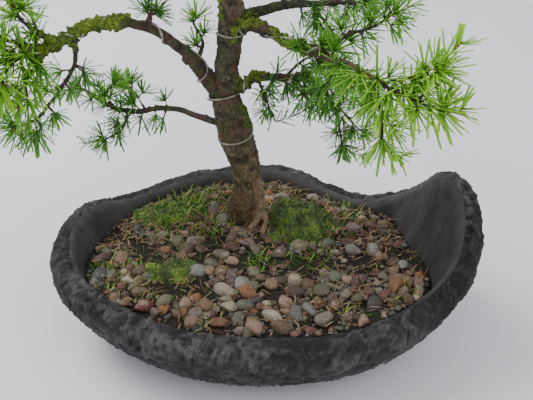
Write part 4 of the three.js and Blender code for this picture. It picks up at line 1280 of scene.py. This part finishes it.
# New shoots go on from a twig's end: the twig, the way they go, their length and their bark.
SHOOTS = {
    "right_front_outer": [
        ("rising", (0.7, 0, 0.7), 22, RUDDY), ("outer", (1, 0.1, 0.1), 12, RUDDY),
        ("back", (0.9, -0.1, 0.4), 14, RUDDY), ("line", (0.8, 0.5, 0.4), 18, RUDDY),
    ],
    "right_front_hanging": [("hanging", (0.6, -0.2, -0.7), 18, RUDDY)],
    "right_low_hanging": [("line", (0.8, -0.3, -0.4), 20, STRAW), ("dead", (0.9, -0.2, 0.4), 28, STRAW)],
    "left_low_hanging": [("hanging", (-0.9, -0.2, -0.2), 18, STRAW)],
    "left_low_outer": [("line", (-0.8, -0.4, -0.3), 14, RUDDY)],
    "left_high_hanging": [("hanging", (-0.8, 0, 0.5), 12, STRAW)],
    "left_high_outer": [
        ("outer_low", (-0.1, -0.3, -1), 18, STRAW), ("outer_front", (-0.3, -0.6, -0.4), 14, RUDDY),
    ],
}


def spray_of(name, tufts, lines, chance, node):
    """All the needles of one spray: its tufts, and the new shoots at its twigs' ends."""
    foliage = Foliage()
    for _, tip, way, lit in tufts:
        size = size_at(tip) * chance.uniform(0.82, 1.12)
        light = light_at(tip) + lit + chance.uniform(-0.08, 0.08)
        count = chance.randint(*NEEDLES_A_TUFT)
        spread = chance.uniform(*TUFT_SPREAD)
        rosette(foliage, tip, way, size, count, light, chance, spread)
    for twig, way, length, stem in SHOOTS.get(node.removeprefix("needles_"), []):
        shoot(foliage, lines[twig][-1].xyz, Vector(way).normalized(), length * MM, stem, chance)
    return finished(name, foliage.bm, leaf, [node])


for number, (name, branch) in enumerate(BRANCHES.items()):
    for count, (spray, tufts) in enumerate(branch["tufts"].items()):
        chance = random.Random(1000 + 10 * number + count)
        spray_of(f"foliage_{name}_{spray}", tufts, branch["lines"], chance, f"needles_{name}_{spray}")
crown_chance = random.Random(5)
tip_tufts = tufts_on({"line": trunk_line}, [("line", 0.86)], crown_chance)
spray_of("foliage_tip", tip_tufts, {"line": trunk_line}, crown_chance, "needles_crown_tip")

# ------------------------------------------------------------------ pebbles and gravel
# Smooth river pebbles in reds, browns, greys and creams are strewn over the soil, packed close at
# the front and thin round the moss. Each lies loose, half sunk among smaller chips and dirt.
RED, BRICK, PINK = (0.30, 0.060, 0.045), (0.22, 0.080, 0.058), (0.46, 0.27, 0.20)
TAN, ORANGE, CREAM = (0.36, 0.23, 0.12), (0.40, 0.16, 0.055), (0.55, 0.47, 0.33)
GREY, SLATE, PALE = (0.165, 0.155, 0.128), (0.055, 0.055, 0.052), (0.31, 0.30, 0.26)
OLIVE, MAUVE, BROWN = (0.22, 0.20, 0.11), (0.22, 0.15, 0.13), (0.14, 0.075, 0.045)
GREEN = (0.14, 0.15, 0.10)
# The larger pebbles lie where their solids do: length, width, height, turn and colour.
NAMED_STONES = {
    "pebble_red": (20, 11, 11, 28, RED),
    "pebble_mottled": (16, 10, 9, -5, TAN),
    "pebble_brick": (17, 9, 9, 2, BRICK),
    "pebble_pink": (12, 9, 8, 0, PINK),
    "pebble_standing": (12, 9, 20, 5, CREAM),
    "pebble_grey_long": (19, 11, 10, -28, PALE),
    "pebble_round": (10, 10, 9, 0, PALE),
    "pebble_olive": (15, 13, 11, 25, OLIVE),
    "pebble_slate": (18, 13, 8, 55, SLATE),
    "pebble_buff": (18, 14, 12, 60, (0.40, 0.38, 0.26)),
    "pebble_streaked": (20, 12, 11, 130, CREAM),
    "pebble_rust": (22, 10, 9, -4, ORANGE),
    "pebble_tan": (14, 13, 12, 50, (0.42, 0.24, 0.11)),
    "pebble_dark": (17, 10, 9, 8, GREEN),
}
# The rest are strewn: how many, the least and greatest size, and how often one lies at the back.
STREWN = {"dressing": (190, 6.5, 14, 0.3), "chips": (760, 2.5, 6.5, 0.5)}
STONE_COLOURS = [
    BRICK, BRICK, PINK, TAN, TAN, TAN, ORANGE, CREAM, GREY, SLATE, PALE, OLIVE, OLIVE, MAUVE, MAUVE,
    BROWN, BROWN, BROWN, GREEN, GREEN, CREAM,
]

stone = Surface("river_pebbles", roughness=0.62)
own_tint = stone.attribute("tint", "Color")
speckle = stone.noise(900, 3, 0.7)
clouds = stone.noise(150, 4, 0.6)
veins = stone.noise(75, 4, 0.65)
body_tint = stone.mix(clouds.above(0.55, 0.12) * 0.45, own_tint, (0.09, 0.065, 0.05))
body_tint = stone.mix(speckle.above(0.60, 0.06) * 0.3, body_tint, (0.52, 0.48, 0.42))
dark_speckle = (1 - speckle).above(0.62, 0.06) * 0.45
body_tint = stone.mix(dark_speckle, body_tint, (0.03, 0.025, 0.02))
body_tint = stone.mix(veins.above(0.62, 0.02) * 0.35, body_tint, (0.55, 0.45, 0.36))
stone.set("Base Color", body_tint)
stone.set("Roughness", 0.5 + 0.35 * clouds)
stone.set("Normal", stone.bump(clouds * 0.6 + speckle * 0.4, 0.0009, 0.7))


CHIP_DIRT = 0.72
SINK = 0.34
FLATS = 9
TILT = 0.3


def add_stone(bm, tint_layer, sizes, detail, chance):
    """A pebble: a ball pulled out of round, flattened here and there, and laid on the ground."""
    x, y, length, width, height, turn, colour = sizes
    made = bmesh.ops.create_icosphere(bm, subdivisions=detail, radius=1)["verts"]
    seed = chance.uniform(0, 99)
    tipped = Matrix.Rotation(chance.uniform(-TILT, TILT), 3, "X")
    lean = tipped @ Matrix.Rotation(math.radians(turn), 3, "Z")
    ground = ground_at(x * MM, y * MM)
    middle = Vector((x * MM, y * MM, ground + (0.5 - SINK) * height * MM))
    facets = [Vector([chance.gauss(0, 1) for _ in range(3)]).normalized() for _ in range(FLATS)]
    flat = [chance.uniform(0.58, 0.92) for _ in facets]
    shift = chance.uniform(0.34, 0.86) * (CHIP_DIRT if detail < 3 else 1)
    for vert in made:
        # Each pebble is painted darker towards its underside, as painted shade where it sits in the ground.
        underside_shade = 0.45 + 0.55 * step_between(vert.co.z, -0.5, 0.7)
        co = vert.co * (1 + 0.14 * noise.noise(vert.co * 0.9 + Vector((seed, 0, 0))))
        for facet, depth in zip(facets, flat):
            over = co.dot(facet) - depth
            if over > 0:
                co -= facet * over * 0.93
        co = Vector((co.x * length, co.y * width, co.z * height)) * 0.5 * MM
        vert.co = middle + lean @ co
        vert[tint_layer] = (*(min(1, c * shift * underside_shade) for c in colour), 1)


def stone_piece(name, rows, detail, seed, replaced):
    bm = bmesh.new()
    layer = bm.verts.layers.float_color.new("tint")
    chance = random.Random(seed)
    for row in rows:
        add_stone(bm, layer, row, detail, chance)
    return finished(name, bm, stone, replaced)


def middle_of(node):
    """The middle of a solid's box, across and along, in millimetres."""
    low, high = (Vector(corner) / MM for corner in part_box(node))
    return (low + high) / 2, (high - low) / 2


taken = []
for number, (name, sizes) in enumerate(NAMED_STONES.items()):
    middle, _ = middle_of(name)
    stone_piece(f"{name}_stone", [(middle.x, middle.y, *sizes)], 4, 300 + number, [name])
    taken.append((middle.x, middle.y, 0.42 * max(sizes[:2])))

# Each moss cushion's middle, half sizes and rise.
MOSS = {}
for name in ("moss_right", "moss_left", "moss_back"):
    middle, half = middle_of(name)
    MOSS[name] = (middle.x, middle.y, half.x, half.y, 9 if name == "moss_right" else 5.5)


def mossy(x, y, grow=1.0):
    """Whether a place in millimetres lies on one of the moss cushions."""
    for cx, cy, along, across, _ in MOSS.values():
        if ((x - cx) / along) ** 2 + ((y - cy) / across) ** 2 < grow:
            return True
    return False


# Bare earth: x, y, and how far it reaches along and across, in millimetres.
BARE = [(20, -18, 26, 14), (80, -12, 30, 12), (-62, -42, 26, 12), (10, 14, 20, 16)]
strewn = random.Random(77)
TRIES = 9000
TRUNK_CLEAR = 20
PACKING = 0.33
heaps = {}
for heap, (wanted, least, most, at_back) in STREWN.items():
    heaps[heap] = []
    for _ in range(TRIES):
        if len(heaps[heap]) >= wanted:
            break
        x, y = strewn.uniform(-140, 140), strewn.uniform(-98, 108)
        size = strewn.uniform(least, most)
        if not inside_pot(x * MM, y * MM, 0.4 * size * MM) or mossy(x, y, 0.75):
            continue
        if math.hypot(x - TRUNK_FOOT.x / MM, y - TRUNK_FOOT.y / MM) < TRUNK_CLEAR:
            continue
        if y > 15 and strewn.random() > at_back:
            continue
        if lumps(Vector((x, y, 0)) * MM, 38, 17) < -0.12:
            continue
        bare = any(((x - cx) / rx) ** 2 + ((y - cy) / ry) ** 2 < 1 for cx, cy, rx, ry in BARE)
        if bare and (heap == "dressing" or strewn.random() < 0.75):
            continue
        if any((x - tx) ** 2 + (y - ty) ** 2 < (reach + PACKING * size) ** 2 for tx, ty, reach in taken):
            continue
        taken.append((x, y, PACKING * size))
        long = size * strewn.uniform(1.0, 1.55)
        height = size * strewn.uniform(0.6, 0.85)
        turn = strewn.uniform(0, 180)
        heaps[heap].append((x, y, long, size, height, turn, strewn.choice(STONE_COLOURS)))
stone_piece("pebble_dressing", heaps["dressing"], 3, 401, ["gravel"])
stone_piece("fine_gravel", heaps["chips"], 2, 402, [])

# ------------------------------------------------------------------ moss
# Living moss has spread in soft cushions: one bright and thick beside the trunk, and two thinner
# ones. Each is a low mound with a nap of fine upright shoots, brown where it has dried.
CUSHION_MARGIN = 1.25
CUSHION_SKIN = 1.2 * MM
SHOOT_SPREAD = 0.4
moss = Surface("living_moss", roughness=0.95, sheen_weight=0.3)
moss_tint = moss.attribute("tint", "Color")
nap = moss.noise(650, 3, 0.65)
moss.set("Base Color", moss.mix(nap.above(0.5, 0.2) * 0.4, moss_tint, (0.010, 0.020, 0.004)))
moss.set("Normal", moss.bump(nap, 0.0015, 0.8))
MOSS_COLOURS = [(0.026, 0.055, 0.007), (0.075, 0.145, 0.011), (0.16, 0.28, 0.016), (0.27, 0.40, 0.026)]


def moss_height(sizes, x, y):
    """The height of a cushion above the ground, or less than 0 outside it. In millimetres."""
    cx, cy, along, across, rise = sizes
    away = ((x - cx) / along) ** 2 + ((y - cy) / across) ** 2
    ragged = 0.5 * lumps(Vector((x, y, 0)) * MM, 60, 31) + 0.35 * lumps(Vector((x, y, 0)) * MM, 170, 33)
    return rise * (1 - (away + ragged) ** 1.5) if away + ragged > 0 else rise


def buried(co):
    return co.z < ground_at(co.x, co.y) - 3 * MM


def blade(bm, tint_layer, base, way, length, width, tint, droop):
    """A narrow leaf of two bent strips that come to a point."""
    side = way.cross(Vector((0.3, 0.2, 1))).normalized() * width / 2
    middle = base + way * length * 0.55 - Vector((0, 0, droop * 0.3))
    tip = base + way * length - Vector((0, 0, droop))
    corners = [base - side, base + side, middle + side * 0.8, middle - side * 0.8, tip]
    verts = [bm.verts.new(co) for co in corners]
    for vert in verts:
        vert[tint_layer] = (*tint, 1)
    bm.faces.new(verts[:4])
    bm.faces.new((verts[3], verts[2], verts[4]))


for number, (name, sizes) in enumerate(MOSS.items()):
    chance = random.Random(500 + number)
    cx, cy, along, across, rise = sizes
    bm = bmesh.new()
    layer = bm.verts.layers.float_color.new("tint")
    bmesh.ops.create_grid(bm, x_segments=110, y_segments=90, size=1.0)
    for vert in bm.verts:
        x = cx + vert.co.x * along * CUSHION_MARGIN
        y = cy + vert.co.y * across * CUSHION_MARGIN
        high = moss_height(sizes, x, y)
        here = Vector((x * MM, y * MM, 0))
        nap_out = 1.2 * lumps(here, 380, 3) + 1.1 * lumps(here, 800, 5) + 1.6 * lumps(here, 120, 8)
        here.z = ground_at(here.x, here.y) + (max(-4, high) + nap_out * min(1, max(0, high / 2))) * MM
        vert.co = here
        shade = int(1.6 + 2.4 * lumps(here, 90, 2) + 1.2 * lumps(here, 400, 4))
        vert[layer] = (*MOSS_COLOURS[min(3, max(0, shade))], 1)
    drop = [v for v in bm.verts if not inside_pot(v.co.x, v.co.y, 0.001) or buried(v.co)]
    bmesh.ops.delete(bm, geom=drop, context="VERTS")
    bmesh.ops.solidify(bm, geom=bm.faces[:], thickness=CUSHION_SKIN)
    shoots = int(along * across * (6.5 if name == "moss_right" else 3.6))
    for _ in range(shoots):
        x = cx + chance.uniform(-1.1, 1.1) * along
        y = cy + chance.uniform(-1.1, 1.1) * across
        high = moss_height(sizes, x, y)
        if high < 0.2 or not inside_pot(x * MM, y * MM, 0.002):
            continue
        base = Vector((x * MM, y * MM, ground_at(x * MM, y * MM) + (high - 0.8) * MM))
        way = Vector((chance.gauss(0, SHOOT_SPREAD), chance.gauss(0, SHOOT_SPREAD), 1)).normalized()
        tint = chance.choice(MOSS_COLOURS)
        if chance.random() < 0.06:
            tint = (0.16, 0.09, 0.03)
        blade(bm, layer, base, way, chance.uniform(1.8, 4.2) * MM, 0.7 * MM, tint, 0.4 * MM)
    finished(f"{name}_cushion", bm, moss, [name])

# ------------------------------------------------------------------ weeds, grass and litter
# Small grasses and seedlings have come up between the pebbles, and fallen needles, bud scales and
# bits of stem lie where they dropped.
GRASS = [(0.10, 0.26, 0.02), (0.20, 0.42, 0.03), (0.32, 0.50, 0.05), (0.06, 0.17, 0.02)]
DRY = [(0.22, 0.11, 0.05), (0.30, 0.19, 0.09), (0.13, 0.06, 0.03), (0.36, 0.27, 0.15)]
# Where weeds crowd: x, y, spread and how many, in millimetres.
WEEDS = [
    (-70, 52, 44, 260), (-50, 80, 26, 90), (-110, -30, 26, 90), (80, 56, 40, 110), (20, 92, 44, 60),
    (-30, 34, 18, 30), (0, -14, 12, 26), (112, -50, 12, 18), (124, 16, 10, 14), (-36, -72, 40, 22),
    (50, -60, 50, 26), (-128, 0, 14, 16), (38, 0, 26, 60), (-60, 12, 30, 30),
]
GRASS_WIDTH = 0.9 * MM
LITTER = 5200
CLEAR_FRONT = 0.62
grass = Surface("grass_blades", roughness=0.6)
grass_tint = grass.attribute("tint", "Color")
grass.set("Base Color", grass.mix(grass.noise(300, 2) * 0.3, grass_tint, (0.05, 0.12, 0.01)))
grass.set("Normal", grass.bump(grass.noise(1200, 1), 0.0002, 0.4))
bm = bmesh.new()
layer = bm.verts.layers.float_color.new("tint")
chance = random.Random(900)
for wx, wy, spread, count in WEEDS:
    for _ in range(count):
        x, y = chance.gauss(wx, spread / 2), chance.gauss(wy, spread / 2)
        if not inside_pot(x * MM, y * MM, 0.003):
            continue
        base = Vector((x * MM, y * MM, ground_at(x * MM, y * MM) + (3 if mossy(x, y) else 0) * MM))
        tint = chance.choice(GRASS)
        for _ in range(chance.randint(1, 4)):
            way = Vector((chance.gauss(0, 0.7), chance.gauss(0, 0.7), 1)).normalized()
            length = chance.uniform(5, 15) * MM
            blade(bm, layer, base, way, length, GRASS_WIDTH, tint, length * chance.uniform(0.1, 0.5))
finished("grass_and_seedlings", bm, grass, [])

husk = Surface("dry_litter", roughness=0.9)
husk_tint = husk.attribute("tint", "Color")
husk.set("Base Color", husk.mix(husk.noise(500, 3) * 0.5, husk_tint, (0.05, 0.03, 0.015)))
husk.set("Normal", husk.bump(husk.noise(900, 2), 0.0004, 0.6))
bm = bmesh.new()
layer = bm.verts.layers.float_color.new("tint")
for _ in range(LITTER):
    x, y = chance.uniform(-138, 138), chance.uniform(-96, 106)
    if not inside_pot(x * MM, y * MM, 0.004):
        continue
    if y < 10 and chance.random() < CLEAR_FRONT:
        continue
    rise = chance.uniform(0.5, 5) * MM
    base = Vector((x * MM, y * MM, ground_at(x * MM, y * MM) + rise))
    turn = chance.uniform(0, 2 * math.pi)
    way = Vector((math.cos(turn), math.sin(turn), chance.uniform(-0.1, 0.15))).normalized()
    length = chance.uniform(4, 13) * MM
    blade(bm, layer, base, way, length, chance.uniform(0.6, 1.5) * MM, chance.choice(DRY), 0.6 * MM)
finished("fallen_litter", bm, husk, [])
